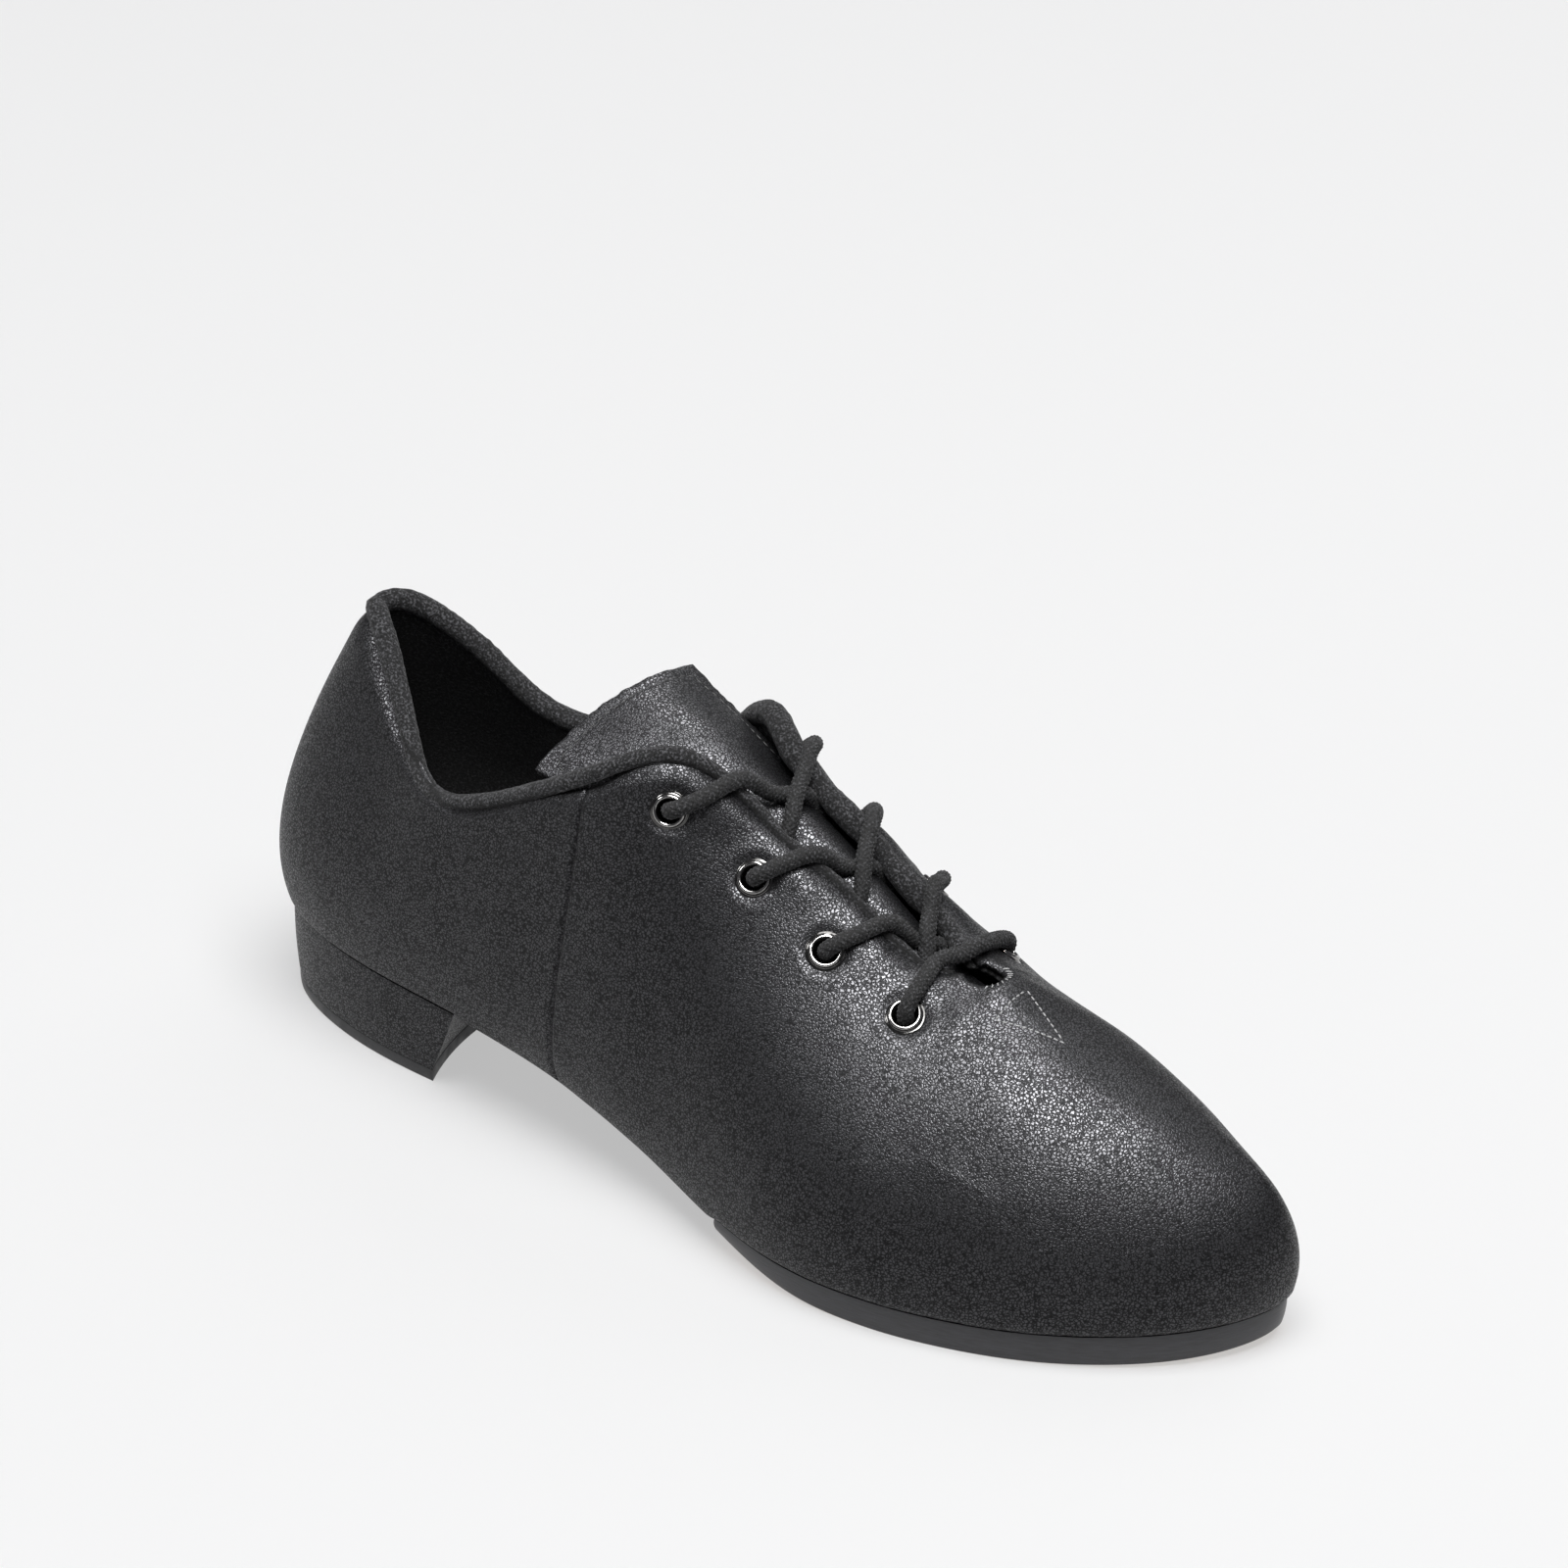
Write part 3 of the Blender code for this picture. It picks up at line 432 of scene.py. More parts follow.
def rim_edges(faces):
    """Directed edges that only one face uses."""
    edges = np.concatenate([faces[:, [k, (k + 1) % 4]] for k in range(4)])
    key = edges[:, 0] * (faces.max() + 1) + edges[:, 1]
    twin = edges[:, 1] * (faces.max() + 1) + edges[:, 0]
    return edges[~np.isin(key, twin)]


def shell(points, faces, thickness, steps=RIM_STEPS):
    """A closed skin under a surface, with a round rim along every free edge.

    Returns its points, its faces, and which point of the surface each of its points came from.
    """
    normals = normals_of(points, faces)
    thickness = np.broadcast_to(thickness, len(points))
    rim = rim_edges(faces)
    along = points[rim[:, 1]] - points[rim[:, 0]]
    away = np.zeros_like(points)
    side = np.cross(along, normals[rim[:, 0]] + normals[rim[:, 1]])
    for k in range(2):
        np.add.at(away, rim[:, k], side)
    border = np.unique(rim)
    out = away[border] / np.maximum(np.linalg.norm(away[border], axis=1), 1e-12)[:, None]
    radius = thickness[border][:, None] / 2
    centre = points[border] - normals[border] * radius
    slot = np.full(len(points), -1)
    slot[border] = np.arange(len(border))
    layers = [np.arange(len(points))[border]]
    extra = []
    for k in range(1, steps):
        turned = math.pi * k / steps
        extra.append(centre + radius * (math.cos(turned) * normals[border] + math.sin(turned) * out))
        layers.append(2 * len(points) + (k - 1) * len(border) + np.arange(len(border)))
    layers.append(len(points) + border)
    a, b = slot[rim[:, 0]], slot[rim[:, 1]]
    band = [np.stack([upper[b], upper[a], lower[a], lower[b]], axis=1)
            for upper, lower in zip(layers, layers[1:])]
    inner = points - normals * thickness[:, None]
    every = np.concatenate([points, inner, *extra])
    source = np.concatenate([np.arange(len(points)), np.arange(len(points)), np.tile(border, steps - 1)])
    return every, np.concatenate([faces, faces[:, ::-1] + len(points), *band]), source


def relax(points, faces, weight, rounds):
    """Moves points towards the middle of their neighbours, by their weights, a number of times."""
    edges = np.concatenate([faces[:, [k, (k + 1) % 4]] for k in range(4)])
    edges = np.unique(np.sort(edges, axis=1), axis=0)
    edges = edges[(weight[edges] > 0).any(axis=1)]
    start, end = np.concatenate([edges, edges[:, ::-1]]).T
    count = np.maximum(np.bincount(start, minlength=len(points)), 1)
    for _ in range(rounds):
        middle = np.stack([np.bincount(start, points[end, k], len(points)) for k in range(3)], axis=1)
        points = points + (middle / count[:, None] - points) * weight[:, None]
    return points


def new_piece(name, points, faces, shade, smooth=True, painted_shade=None):
    """A mesh object from station millimetres, which keeps its rest position for the materials.

    The last argument gives each point a share of painted shade, 0 to 1, which the materials lay on as a
    darker base colour.
    """
    mesh = bpy.data.meshes.new(name)
    mesh.from_pydata(place(points).tolist(), [], [tuple(face) for face in faces])
    rest = mesh.attributes.new("rest_mm", "FLOAT_VECTOR", "POINT")
    rest.data.foreach_set("vector", np.asarray(points, np.float32).ravel())
    if painted_shade is not None:
        painted_hollow_shade = mesh.attributes.new("painted_hollow_shade", "FLOAT", "POINT")
        painted_hollow_shade.data.foreach_set("value", np.asarray(painted_shade, np.float32))
    mesh.polygons.foreach_set("use_smooth", [smooth] * len(mesh.polygons))
    mesh.update()
    item = bpy.data.objects.new(name, mesh)
    bpy.context.scene.collection.objects.link(item)
    mesh.materials.append(shade)
    return item


def bend_with_arch(item):
    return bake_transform(item)


def frames_along(points):
    """Tangents and two turn-free cross directions along a line of points."""
    tangent = np.gradient(points, axis=0)
    tangent /= np.linalg.norm(tangent, axis=1)[:, None]
    first = np.cross(tangent[0], [0.0, 0.0, 1.0])
    first /= np.linalg.norm(first)
    across_line = [first]
    for direction in tangent[1:]:
        carried = across_line[-1] - direction * np.dot(across_line[-1], direction)
        across_line.append(carried / np.linalg.norm(carried))
    across_line = np.array(across_line)
    return tangent, across_line, np.cross(tangent, across_line)


def capped_tube(rings):
    """Points and quads of a closed tube from its rings, with a flat grid-free fan at each end."""
    rows, columns = rings.shape[:2]
    faces = [tuple(face) for face in quads(rows, columns, loop=True)]
    points = rings.reshape(-1, 3)
    start, end = len(points), len(points) + 1
    points = np.concatenate([points, [rings[0].mean(axis=0)], [rings[-1].mean(axis=0)]])
    for j in range(columns):
        k = (j + 1) % columns
        faces.append((start, j, k))
        faces.append((end, (rows - 1) * columns + k, (rows - 1) * columns + j))
    return points, faces


# ---------------------------------------------------------------- materials

class Shader:
    """A Principled material being built, with its procedural coordinates in millimetres."""

    def __init__(self, name, colour, roughness, cad=False, **inputs):
        self.material = bpy.data.materials.new(name)
        self.material.use_nodes = True
        self.tree = self.material.node_tree
        self.bsdf = self.tree.nodes["Principled BSDF"]
        self.set("Base Color", (*colour, 1.0))
        self.set("Roughness", roughness)
        for key, value in inputs.items():
            self.set(key.replace("_", " "), value)
        self.coords = self.cad_coords() if cad else self.rest_coords()
        self.height = None

    def set(self, socket, value):
        self.bsdf.inputs[socket].default_value = value

    def node(self, kind, **inputs):
        made = self.tree.nodes.new(kind)
        for key, value in inputs.items():
            socket = made.inputs[key.replace("_", " ")]
            if isinstance(value, bpy.types.NodeSocket):
                self.tree.links.new(value, socket)
            else:
                socket.default_value = value
        return made

    def rest_coords(self):
        made = self.node("ShaderNodeAttribute")
        made.attribute_name = "rest_mm"
        return made.outputs["Vector"]

    def cad_coords(self):
        place_node = self.node("ShaderNodeTexCoord")
        scale = self.node("ShaderNodeVectorMath")
        scale.operation = "SCALE"
        self.tree.links.new(place_node.outputs["Object"], scale.inputs[0])
        scale.inputs["Scale"].default_value = 1.0 / MM
        return scale.outputs["Vector"]

    def noise(self, size, detail=2.0, stretch=None, coords=None):
        """Noise with features of a size in millimetres."""
        coords = coords or self.coords
        if stretch:
            mapping = self.node("ShaderNodeMapping", Vector=coords, Scale=stretch)
            coords = mapping.outputs["Vector"]
        made = self.node("ShaderNodeTexNoise", Vector=coords, Scale=1.0 / size, Detail=detail)
        return made.outputs["Fac"]

    def painted_hollow_shade(self):
        """How much painted shade a point gets, 0 to 1, in its hollows, seams and joints."""
        made = self.node("ShaderNodeAttribute")
        made.attribute_name = "painted_hollow_shade"
        return made.outputs["Fac"]

    def pebbles(self, size, distort):
        """Domed grains of a size in millimetres with narrow creases between them: 1 top, 0 crease."""
        edge = self.cells(size, distort, "DISTANCE_TO_EDGE")
        made = self.node("ShaderNodeMapRange", Value=edge)
        made.interpolation_type = "SMOOTHERSTEP"
        made.inputs["From Min"].default_value = -0.02
        made.inputs["From Max"].default_value = 0.34
        return made.outputs["Result"]

    def cells(self, size, distort, feature="SMOOTH_F1"):
        """Cells of a size in millimetres, their edges pushed about by noise."""
        warp = self.node("ShaderNodeTexNoise", Vector=self.coords, Scale=1.0 / size, Detail=1.0)
        push = self.node("ShaderNodeVectorMath")
        push.operation = "MULTIPLY_ADD"
        self.tree.links.new(warp.outputs["Color"], push.inputs[0])
        push.inputs[1].default_value = (distort, distort, distort)
        self.tree.links.new(self.coords, push.inputs[2])
        cell = self.node("ShaderNodeTexVoronoi", Vector=push.outputs["Vector"], Scale=1.0 / size)
        cell.feature = feature
        if feature == "SMOOTH_F1":
            cell.inputs["Smoothness"].default_value = 0.6
        return cell.outputs["Distance"]

    def remap(self, value, low, high, to_low, to_high):
        made = self.node("ShaderNodeMapRange", Value=value)
        made.inputs["From Min"].default_value = low
        made.inputs["From Max"].default_value = high
        made.inputs["To Min"].default_value = to_low
        made.inputs["To Max"].default_value = to_high
        return made.outputs["Result"]

    def math(self, operation, first, second):
        made = self.node("ShaderNodeMath")
        made.operation = operation
        for socket, value in zip(made.inputs, (first, second)):
            if isinstance(value, bpy.types.NodeSocket):
                self.tree.links.new(value, socket)
            else:
                socket.default_value = value
        return made.outputs["Value"]

    def ramp(self, value, stops):
        """A colour from a value through (place, colour) stops."""
        ramp = self.node("ShaderNodeValToRGB", Fac=value)
        elements = ramp.color_ramp.elements
        for element, (position, colour) in zip(elements, (stops[0], stops[-1])):
            element.position = position
            element.color = (*colour, 1.0)
        for position, colour in stops[1:-1]:
            elements.new(position).color = (*colour, 1.0)
        return ramp.outputs["Color"]

    def colours(self, value, stops):
        """Base colour from a value through (place, colour) stops."""
        self.colour = self.ramp(value, stops)
        self.tree.links.new(self.colour, self.bsdf.inputs["Base Color"])

    def gloss(self, value, stops):
        """How much of the gloss is left, from a value through (place, share) stops; low shares paint shade
        into the reflections.
        """
        ramp = self.ramp(value, tuple((place, grey(share, 1.05)) for place, share in stops))
        self.tree.links.new(ramp, self.bsdf.inputs["Specular Tint"])

    def paint_shade(self, value, strength):
        """Paints shade: takes the base colour down towards a near black where the value is high. Comes
        after colours().
        """
        mix = self.node("ShaderNodeMix")
        mix.data_type = "RGBA"
        self.tree.links.new(self.math("MULTIPLY", value, strength), mix.inputs["Factor"])
        self.tree.links.new(self.colour, mix.inputs["A"])
        # The colour of the painted shade.
        mix.inputs["B"].default_value = (0.0012, 0.0012, 0.0013, 1.0)
        self.tree.links.new(mix.outputs["Result"], self.bsdf.inputs["Base Color"])

    def roughness(self, value, low, high):
        self.tree.links.new(self.remap(value, 0.3, 0.7, low, high), self.bsdf.inputs["Roughness"])

    def bump(self, value, depth):
        """Adds a relief of a depth in millimetres."""
        made = self.node("ShaderNodeBump", Height=value, Distance=depth * MM)
        if self.height is not None:
            self.tree.links.new(self.height, made.inputs["Normal"])
        self.height = made.outputs["Normal"]
        self.tree.links.new(self.height, self.bsdf.inputs["Normal"])


def grey(tone, blue=1.06):
    return (tone, tone, tone * blue)


def leather_material(name, grain=0.72, depth=0.035):
    shade = Shader(name, grey(0.006), 0.4, IOR=1.55, Specular_IOR_Level=0.5)
    pebbles = shade.pebbles(grain, 0.8)
    patches = shade.noise(14.0, 3.0)
    fine = shade.noise(0.5, 2.0)
    tone = shade.math("ADD", shade.math("MULTIPLY", patches, 0.12), shade.math("MULTIPLY", pebbles, 0.5))
    tone = shade.math("ADD", tone, shade.math("MULTIPLY", fine, 0.3))
    # Partly random grain tone, partly painted shade: the pebbles' creases get a far darker base colour
    # than their tops.
    shade.colours(tone, ((0.25, grey(0.0004, 1.1)), (0.5, grey(0.004, 1.1)), (0.72, grey(0.016, 1.1))))
    # Painted shade where the mesh gives shares of it: seams, grooves, open edges, joints and eyelets.
    shade.paint_shade(shade.painted_hollow_shade(), 0.9)
    # The creases also keep less gloss: painted shade in the reflections.
    shade.gloss(tone, ((0.22, 0.2), (0.4, 0.6), (0.56, 1.0)))
    shade.roughness(tone, 0.58, 0.3)
    shade.bump(shade.noise(7.0, 2.0), 0.012)
    shade.bump(pebbles, depth)
    shade.bump(fine, depth * 0.3)
    return shade.material


def knit_material(name, pile=0.42, depth=0.14, tint=0.026):
    shade = Shader(name, grey(tint, 1.03), 0.95, Specular_IOR_Level=0.2, Sheen_Weight=0.12,
                   Sheen_Roughness=0.45)
    loops = shade.cells(pile, 0.7)
    lint = shade.noise(pile * 1.25, 2.5)
    stops = ((0.38, grey(tint * 0.1)), (0.52, grey(tint * 0.8)), (0.66, grey(tint * 4.5)))
    shade.colours(lint, stops)
    # Painted shade in the groove where the roll meets the leather.
    shade.paint_shade(shade.painted_hollow_shade(), 0.9)
    shade.roughness(lint, 0.86, 1.0)
    shade.bump(shade.math("MULTIPLY", loops, -1.0), depth)
    shade.bump(lint, depth * 0.6)
    return shade.material


def lace_material():
    shade = Shader("lace_cotton", grey(0.014, 1.03), 0.85, Specular_IOR_Level=0.25, Sheen_Weight=0.1,
                   Sheen_Roughness=0.5)
    yarn = shade.noise(0.5, 2.5)
    shade.colours(yarn, ((0.4, grey(0.002)), (0.52, grey(0.014)), (0.64, grey(0.1))))
    # Painted shade in the braid's hollows.
    shade.paint_shade(shade.painted_hollow_shade(), 1.0)
    shade.roughness(yarn, 0.75, 0.95)
    shade.bump(yarn, 0.22)
    return shade.material


def thread_material(name, tone):
    shade = Shader(name, (tone, tone, tone), 0.6)
    twist = shade.noise(0.25, 1.0)
    shade.colours(twist, ((0.3, (tone * 0.6,) * 3), (0.7, (tone * 1.3,) * 3)))
    shade.bump(twist, 0.05)
    return shade.material


def metal_material():
    shade = Shader("eyelet_black_nickel", (0.24, 0.235, 0.23), 0.1, Metallic=1.0)
    wear = shade.noise(1.2, 3.0)
    shade.colours(wear, ((0.3, (0.2, 0.197, 0.193)), (0.7, (0.3, 0.293, 0.285))))
    # Painted shade inside the hole and round the flange, none on the crown.
    shade.paint_shade(shade.painted_hollow_shade(), 0.8)
    shade.roughness(wear, 0.08, 0.17)
    shade.bump(shade.noise(0.7, 1.0), 0.002)
    return shade.material


def sole_edge_material():
    shade = Shader("sole_edge_ink", grey(0.02, 1.2), 0.4, Coat_Weight=0.12, Coat_Roughness=0.3)
    fibres = shade.noise(1.0, 4.0, stretch=(0.25, 0.25, 2.2))
    shade.colours(fibres, ((0.3, grey(0.012, 1.2)), (0.72, grey(0.032, 1.2))))
    # Painted shade in hollows, where the mesh gives shares of it.
    shade.paint_shade(shade.painted_hollow_shade(), 0.9)
    shade.roughness(fibres, 0.34, 0.5)
    shade.bump(fibres, 0.07)
    shade.bump(shade.noise(0.35, 2.0), 0.03)
    return shade.material


def suede_material():
    shade = Shader("sole_underside_suede", (0.30, 0.21, 0.13), 0.92, Sheen_Weight=0.1)
    nap = shade.noise(0.8, 4.0)
    marks = shade.noise(16.0, 3.0)
    mixed = shade.math("ADD", shade.math("MULTIPLY", nap, 0.5), shade.math("MULTIPLY", marks, 0.5))
    shade.colours(mixed, ((0.34, (0.17, 0.115, 0.07)), (0.68, (0.40, 0.29, 0.19))))
    shade.roughness(nap, 0.85, 1.0)
    shade.bump(nap, 0.12)
    return shade.material


def rubber_material():
    shade = Shader("top_lift_rubber", (0.012, 0.012, 0.014), 0.45)
    speckle = shade.noise(0.6, 3.0)
    shade.colours(speckle, ((0.3, (0.008, 0.008, 0.0095)), (0.72, (0.019, 0.019, 0.022))))
    shade.roughness(shade.noise(3.0, 2.0), 0.36, 0.55)
    shade.bump(speckle, 0.035)
    return shade.material


def board_material():
    shade = Shader("fibre_board_looks", (0.33, 0.24, 0.16), 0.9, cad=True)
    flecks = shade.noise(1.4, 5.0)
    shade.colours(flecks, ((0.3, (0.2, 0.14, 0.09)), (0.7, (0.45, 0.34, 0.23))))
    shade.roughness(flecks, 0.8, 0.98)
    shade.bump(flecks, 0.08)
    return shade.material


def cork_material():
    shade = Shader("cork_looks", (0.4, 0.27, 0.15), 0.95, cad=True)
    crumbs = shade.cells(2.2, 0.8)
    shade.colours(crumbs, ((0.1, (0.52, 0.36, 0.2)), (0.5, (0.38, 0.25, 0.13)), (0.8, (0.16, 0.09, 0.05))))
    shade.roughness(shade.noise(1.0, 3.0), 0.85, 1.0)
    shade.bump(crumbs, 0.15)
    return shade.material


def nail_material():
    shade = Shader("nail_steel_looks", (0.45, 0.45, 0.46), 0.4, cad=True, Metallic=1.0)
    drawn = shade.noise(0.5, 3.0, stretch=(1.0, 1.0, 0.1))
    shade.colours(drawn, ((0.3, (0.34, 0.34, 0.35)), (0.7, (0.55, 0.55, 0.56))))
    shade.roughness(drawn, 0.3, 0.5)
    shade.bump(drawn, 0.01)
    return shade.material


def floor_material():
    shade = Shader("studio_floor", (0.42, 0.42, 0.42), 0.95, cad=True, Specular_IOR_Level=0.0,
                   Emission_Strength=FLOOR_GLOW)
    shade.set("Emission Color", (1.0, 1.0, 1.0, 1.0))
    shade.colours(shade.noise(900.0, 1.0), ((0.3, (0.418, 0.418, 0.418)), (0.7, (0.422, 0.422, 0.422))))
    return shade.material


# ---------------------------------------------------------------- the upper

def upper_surface(stations, under_steps, wall_steps):
    """The outer surface sewn into one mesh, and what each point is: see the returned facts.

    Facts, by column: station, distance above the feather line (negative under the foot),
    distance from the top edge, and 1 on the lateral side or -1 on the medial side.
    """
    shares = np.linspace(0, 1, under_steps + 1)[:-1]
    heights = np.linspace(0, 1, wall_steps + 1)
    points, facts, faces = [], [], []
    for side, sign in (("lateral", 1.0), ("medial", -1.0)):
        grid = np.concatenate([underwrap(side, stations, shares), wall(side, stations, heights)], axis=1)
        steps = np.linalg.norm(np.diff(grid, axis=1), axis=2)
        run = np.concatenate([np.zeros((len(stations), 1)), np.cumsum(steps, axis=1)], axis=1)
        above = run - run[:, under_steps:under_steps + 1]
        below = run[:, -1:] - run
        row = np.repeat(stations[:, None], grid.shape[1], axis=1)
        facts.append(np.stack([row, above, below, np.full_like(row, sign)], axis=2).reshape(-1, 4))
        faces.append(quads(*grid.shape[:2], flip=(sign < 0)) + sum(len(p) for p in points))
        points.append(grid.reshape(-1, 3))
    points = np.concatenate(points)
    first, faces = sew(points, np.concatenate(faces))
    return points[first], faces, np.concatenate(facts)[first]


def even_stations(step):
    return np.arange(0, round(TOE_STATION / step) + 1) * step


def along_edge(table, side, station):
    """A value of one of the tables for the edge, read smoothly between its stations."""
    knots, values = zip(*table[side])
    return spline(knots, values, np.clip(station, knots[0], knots[-1]))[:, 0]


def raise_edge(points, facts, rise_at):
    """Draws the part near the open top edge out along the wall, so that the edge ends higher."""
    station, _, below, sign = facts.T
    move = np.zeros_like(points)
    for side, which in (("lateral", sign > 0), ("medial", sign < 0)):
        move[which] = edge_frame(side, station[which])[1] * rise_at(side, station[which])[:, None]
    fade = smooth_step((THROAT_STATION - 0.05 - station) / 0.3)
    share = smooth_step(1 - below / RISE_REACH)
    return points + move * (share * fade)[:, None]


def leather_rise(side, station):
    return along_edge(LEATHER_RISE, side, station)


def lining_rise(side, station):
    """The lining's edge ends inside the roll."""
    return along_edge(ROLL_TOP, side, station) - along_edge(ROLL_HALF, side, station)


def axis_distance(points, centre, normal, reach):
    """Distance of each point from an eyelet's axis, or far for points beyond its reach."""
    offset = points - centre
    off_axis = np.linalg.norm(offset - (offset @ normal)[:, None] * normal, axis=1)
    return np.where(np.linalg.norm(offset, axis=1) < reach, off_axis, reach)


def facing_puff(points, facts):
    """Between two eyelets the edge of the facing stands proud, and the lace pulls it in beside them."""
    station, _, below, _ = facts.T
    swell = np.zeros(len(points))
    places = (FACING_START, *EYELET_STATIONS)
    for low, high in zip(places, places[1:]):
        share = np.clip((station - low) / (high - low), 0, 1)
        swell = np.maximum(swell, np.sin(math.pi * share)**2)
    return FACING_PUFF * swell * np.exp(-((below - PUFF_FROM_EDGE) / PUFF_HALF)**2)


def seam_distance(station):
    """Distance from the side seam along the wall, millimetres."""
    return np.abs(station - SEAM_STATION) * STATION_AT_SEAM


def seam_share(points, facts):
    """1 in the groove of the side seam or of the seam along the arch, 0 away from them."""
    station, above, _, _ = facts.T
    side_seam = np.exp(-(seam_distance(station) / 0.36)**2) * (above > 0)
    arch_seam = np.exp(-(np.abs(points[:, 1] - ARCH_CENTRE_Y) / 0.45)**2) * (above < -6)
    return np.maximum(side_seam, arch_seam)


def throat_distance(points):
    """Distance outside the round end of the throat's opening, in plan."""
    return np.hypot(points[:, 0] - THROAT_END[0], points[:, 1] - THROAT_END[1]) - THROAT_END[2]


def on_heel_or_sole(station):
    """1 where the upper stands on the heel or on the forefoot's sole, 0 along the open arch."""
    fade = 0.15
    on_heel = smooth_step((HEEL_BREAST_STATION + fade - station) / fade)
    on_sole = smooth_step((station - SOLE_STATION) / fade)
    return np.maximum(on_heel, on_sole)


def upper_relief(points, facts):
    """How far each point of the leather stands off the plain surface, millimetres."""
    station, above, below, _ = facts.T
    relief = 0.16 * noise(points, 24.0, 1) + 0.05 * noise(points, 8.0, 2)
    relief += facing_puff(points, facts)
    curl = np.where(station < THROAT_STATION, np.clip(1 - below / CURL_REACH, 0, 1)**2, 0.0)
    near_throat = np.abs(throat_distance(points) + FAR * (station < THROAT_REGION))
    curl = np.maximum(curl, 0.8 * np.clip(1 - near_throat / THROAT_CURL_REACH, 0, 1)**2)
    relief -= CURL_DEPTH * curl
    groove = np.clip(1 - np.abs(above) / FOOT_GROOVE_HALF, 0, 1)**2
    relief -= FOOT_GROOVE * groove * on_heel_or_sole(station)
    relief -= SEAM_GROOVE * seam_share(points, facts)
    relief += 0.07 * np.exp(-((seam_distance(station) - 1.2) / 0.9)**2) * (above > 0)
    for centre, normal, _ in eyelet_frames():
        near = axis_distance(points, centre, normal, EYELET_REACH)
        relief -= EYELET_DENT * np.exp(-(near / 4.9)**6) - 0.12 * np.exp(-((near - 6.2) / 1.2)**2)
    return relief + toe_creases(points, facts) + throat_folds(points, facts)


def upper_painted_shade(points, facts):
    """How much painted shade each point of the leather gets, 0 to 1: seams, open edge, foot line, eyelets.
    """
    station, above, below, _ = facts.T
    # Painted shade in the grooves of the side seam and of the seam along the arch.
    painted_shade = seam_share(points, facts)
    # Painted shade along the open edge, where it tucks under the roll.
    open_edge_shade = np.clip(1 - below / 0.6, 0, 1) * (station < THROAT_STATION)
    # Painted shade along the groove just above the heel and the sole.
    foot_line_shade = np.exp(-(np.clip(above, 0, None) / 0.9)**2) * (above > -2.5) * on_heel_or_sole(station)
    painted_shade = np.maximum(painted_shade, np.maximum(open_edge_shade, foot_line_shade))
    # Painted shade round each eyelet.
    for centre, normal, _ in eyelet_frames():
        near = axis_distance(points, centre, normal, EYELET_REACH)
        painted_shade = np.maximum(painted_shade, np.exp(-(near / 4.7)**8))
    return painted_shade


# Soft folds that run out from the throat's round end: heading in plan, reach, depth and half width.
THROAT_FOLDS = (
    (-128.0, 17.0, 0.75, 1.5),
    (-98.0, 21.0, 0.95, 1.7),
    (-70.0, 15.0, 0.7, 1.4),
    (100.0, 18.0, 0.8, 1.7),
    (132.0, 15.0, 0.6, 1.5),
)


def throat_folds(points, facts):
    """The folds that the pull of the lace makes beside the end of the throat."""
    offset = points[:, :2] - THROAT_END[:2]
    near = (facts[:, 1] > 12.0) & (points[:, 2] > 40.0)
    folds = np.zeros(len(points))
    for heading, reach, depth, half in THROAT_FOLDS:
        turned = math.radians(heading)
        run = offset[:, 0] * math.cos(turned) + offset[:, 1] * math.sin(turned)
        aside = offset[:, 1] * math.cos(turned) - offset[:, 0] * math.sin(turned) + 0.05 * run
        ends = smooth_step((run - THROAT_END[2] - 0.5) / 3.0) * smooth_step((reach - run) / (0.6 * reach))
        width = half * (1 + 0.04 * np.clip(run, 0, None))
        folds -= depth * ends * np.exp(-(aside / width)**2)
        folds += 0.45 * depth * ends * np.exp(-((np.abs(aside) - 2.2 * width) / width)**2)
    return folds * near


def toe_creases(points, facts):
    """Small creases where the leather was pulled over the toe and the ball, just above the sole."""
    station, above, _, _ = facts.T
    fade = smooth_step((station - 6.6) / 0.8) * np.exp(-np.clip(above, 0, None) / 4.5) * (above > -3)
    ahead = np.stack([station * 14.0 + 1.4 * noise(points, 5.0, 5), above * 0.22, 0 * station], axis=1)
    fine = np.stack([station * 14.0 + 0.25 * above, above * 0.9, 0 * station], axis=1)
    return fade * (0.17 * -np.abs(noise(ahead, 0.95, 3)) + 0.06 * noise(fine, 0.7, 4))


def open_throat(points, faces, facts, slack):
    """Takes out the round end of the throat's opening and rounds what is left of its edge."""
    away = throat_distance(points) - slack + FAR * (facts[:, 0] < THROAT_REGION)
    faces = faces[(away[faces].mean(axis=1) > 0)]
    inside = (away < 0) & (away > -1.5)
    radius = THROAT_END[2] + slack
    spoke = points[inside, :2] - THROAT_END[:2]
    points[inside, :2] = THROAT_END[:2] + spoke * (radius / np.linalg.norm(spoke, axis=1))[:, None]
    return points, faces


def open_holes(points, faces, radius, reach):
    """Takes out the faces in each eyelet's hole and rounds what is left of its edge."""
    centres = points[faces].mean(axis=1)
    keep = np.ones(len(faces), bool)
    for centre, normal, _ in eyelet_frames():
        keep &= axis_distance(centres, centre, normal, reach) > radius
    faces = faces[keep]
    for centre, normal, _ in eyelet_frames():
        near = axis_distance(points, centre, normal, reach)
        inside = near < radius
        offset = points[inside] - centre
        rise = (offset @ normal)[:, None] * normal
        flat = offset - rise
        points[inside] = centre + rise + flat * (radius / near[inside])[:, None]
    return points, faces


